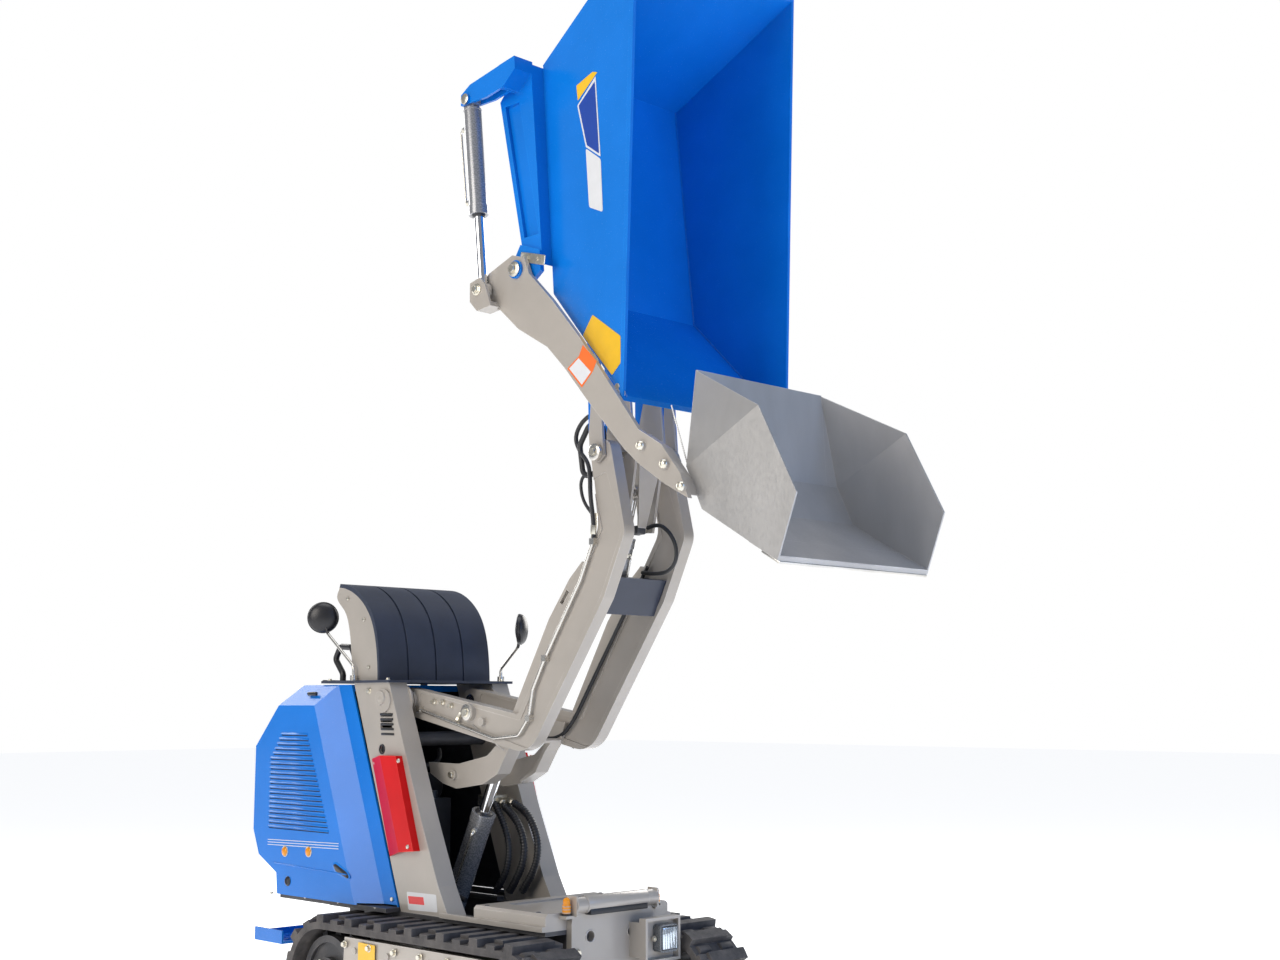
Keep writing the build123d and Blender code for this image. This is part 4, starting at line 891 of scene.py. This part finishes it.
def skip_labels():
    """Plain coloured panels on both sides of the skip."""
    white, blue, yellow = (bmesh.new() for _ in range(3))
    panels = (
        (yellow, [(587, 2722), (662, 2739), (684, 2731), (594, 2676)], 0.4, 3),
        (white, [(676, 2722), (701, 2485), (634, 2530), (592, 2662)], 0.4, 3),
        (blue, [(673, 2708), (695, 2495), (639, 2534), (599, 2660)], 0.9, 3),
        (white, [(633, 2527), (702, 2478), (713, 2326), (651, 2354)], 0.4, 8),
        (yellow, [(670, 2049), (794, 1968), (795, 1896), (758, 1868), (626, 1999)], 0.4, 4),
    )
    for side, _ in SIDES:
        for shape, corners, off, corner in panels:
            sticker(shape, on_skip(corners, side, off)[::side], (0, side, 0), 0.5, corner)
    finished("skip_labels_white", white, "skip", LABEL_WHITE)
    finished("skip_labels_blue", blue, "skip", LABEL_BLUE)
    finished("skip_labels_yellow", yellow, "skip", LABEL_YELLOW)


def skip_details():
    """Welds along the folds, and the bolts and pin heads of the skip frame."""
    seam, metal = bmesh.new(), bmesh.new()
    corners = [(812, 1800), (486, 2145), (421, 2835), (857, 3085)]
    inner = [(x + 5, z + 3) for x, z in corners]
    for side, _ in SIDES:
        for fold, off, radius in ((corners, -4, 3.4), (inner, -6, 3.0)):
            places = on_skip(fold, side, off)
            for start, end in zip(places, places[1:]):
                weld(seam, start, end, radius, 6)
        for x, z in ((781, 1834), (806, 1812)):
            turned(metal, (x, side * (skip_wall_y(x, z) + 0.2), z), (0, side, 0),
                   [(0, 0), (9, 0), (9, 1.5), (0, 2.5)], 16)
        prism(metal, [(402, 2272), (505, 2243), (501, 2214), (399, 2244)], side * 334, side * 337, 0.8, 4)
        for x in (430, 470):
            turned(metal, (x, side * 337, 2250 - (x - 430) * 0.28), (0, side, 0),
                   [(0, 0), (6, 0), (6, 2), (0, 3)], 16)
        turned(metal, (ARM_PIN[0], side * 361, ARM_PIN[1]), (0, side, 0),
               [(0, 0), (22, 0), (22, 3), (16, 6), (0, 6)])
        bolt(metal, (ARM_PIN[0], side * 366, ARM_PIN[1]), (0, side, 0), 22, 8)
        turned(metal, (ARM_BARREL_TOP[0], side * 392, ARM_BARREL_TOP[1]), (0, side, 0),
               [(0, 0), (16, 0), (16, 3), (12, 5), (0, 5)])
    finished("skip_welds", seam, "skip", BLUE_WELD)
    finished("skip_bolts", metal, "skip", ZINC)


def tilt_lever_cover():
    """Tapered cover in front of the tilt lever, over the dark clevis at its foot."""
    cover, clevis = bmesh.new(), bmesh.new()
    sticker(cover, [(583, -47, 1712), (583, 47, 1712), (545, 15, 1502), (545, -15, 1502)], (1, 0, -0.18), 5)
    block(clevis, (508, -17, 1484), (549, 17, 1508), 4)
    rod(clevis, (519, -19, 1496), (519, 19, 1496), 13, 24)
    finished("tilt_lever_cover", cover, "skip", FRAME)
    finished("tilt_lever_clevis", clevis, "skip", DARK)


# ---- arms and shovel
def arm_details():
    metal, orange, white = (bmesh.new() for _ in range(3))
    panels = (
        (orange, ((677, 1958), (731, 1906), (716, 1880), (662, 1930)), 0.5),
        (orange, ((662, 1930), (716, 1880), (674, 1842), (616, 1902)), 0.4),
        (white, ((661, 1924), (709, 1880), (674, 1850), (624, 1901)), 0.8),
    )
    for side, _ in SIDES:
        out = (0, side, 0)
        for shape, corners, thick in panels:
            sticker(shape, [(x, side * ARM_FACE, z) for x, z in corners][::side], out, thick)
        for x, z in ((499, -558), (582, -614), (642, -676)):
            place = (ARM_PIN[0] + x, side * 361, ARM_PIN[1] + z)
            turned(metal, place, out, [(0, 0), (13, 0), (12, 3), (8, 6.5), (0, 8)])
        turned(metal, (ARM_CLEVIS[0], side * 389.5, ARM_CLEVIS[1]), out,
               [(0, 0), (17, 0), (17, 3), (12, 6), (0, 6)])
        bolt(metal, (ARM_CLEVIS[0], side * 395, ARM_CLEVIS[1]), out, 18, 6)
    finished("arm_bolts", metal, "shovel_arms", ZINC)
    finished("arm_labels_orange", orange, "shovel_arms", LABEL_ORANGE)
    finished("arm_labels_white", white, "shovel_arms", LABEL_WHITE)


def shovel_details():
    """Wear plate on the lip and welds along the folds."""
    seam, band, metal = bmesh.new(), bmesh.new(), bmesh.new()

    def at(point, y):
        return (ARM_PIN[0] + point[0], y, ARM_PIN[1] + point[1])

    lip, heel, back, crest = (906, -874), (662, -730), (609, -617), (551, -452)
    along = (Vector(lip) - Vector(heel)).normalized()
    for side in (-1, 1):
        for first, second in ((lip, heel), (heel, back), (back, crest)):
            weld(seam, at(first, side * SHOVEL_SEAM), at(second, side * SHOVEL_SEAM), 2.6, 6)
    down = Vector((along.y, -along.x))
    corner = Vector(lip) - along * 60
    edge = Vector(lip) + along * 4
    plate = [edge, edge + down * 7, corner + down * 7, corner + down * 1]
    prism(band, [(ARM_PIN[0] + p.x, ARM_PIN[1] + p.y) for p in plate], -300, 300, 1)
    for y in (-240, -120, 0, 120, 240):
        spot = Vector(lip) - along * 30 + down * 7
        turned(metal, at(spot, y), (down.x, 0, down.y), [(0, 0), (9, 0), (8, 3), (0, 5)], 20)
    finished("shovel_welds", seam, "shovel_arms", SHOVEL)
    finished("shovel_wear_plate", band, "shovel_arms", STEEL)
    finished("shovel_wear_bolts", metal, "shovel_arms", ZINC)


set_camera()
set_studio()
dress_frame()
paint_faces()
grille()
hood_fittings()
hood_back()
pillar_details()
console_details()
mirror_details()
track_details()
front_details()
tray_details()
step_details()
boom_details()
boom_hoses()
cylinder_details("lift_barrel", (-330, 277), (0, 955), 437, 36, 18, 0, (0.5, -0.86, -0.2))
cylinder_details("tilt_barrel", (430, 1290), (519, 1605), 190, 28, 12, 0, (0.9, -0.3, -0.2))
for side, name in SIDES:
    cylinder_details("arm_barrel_" + name, ARM_BARREL_TOP, ARM_CLEVIS, 350, 26, 14, side * 366.5,
                     (-1, 0, -0.1))
chassis_hoses()
skip_labels()
skip_details()
tilt_lever_cover()
arm_details()
shovel_details()
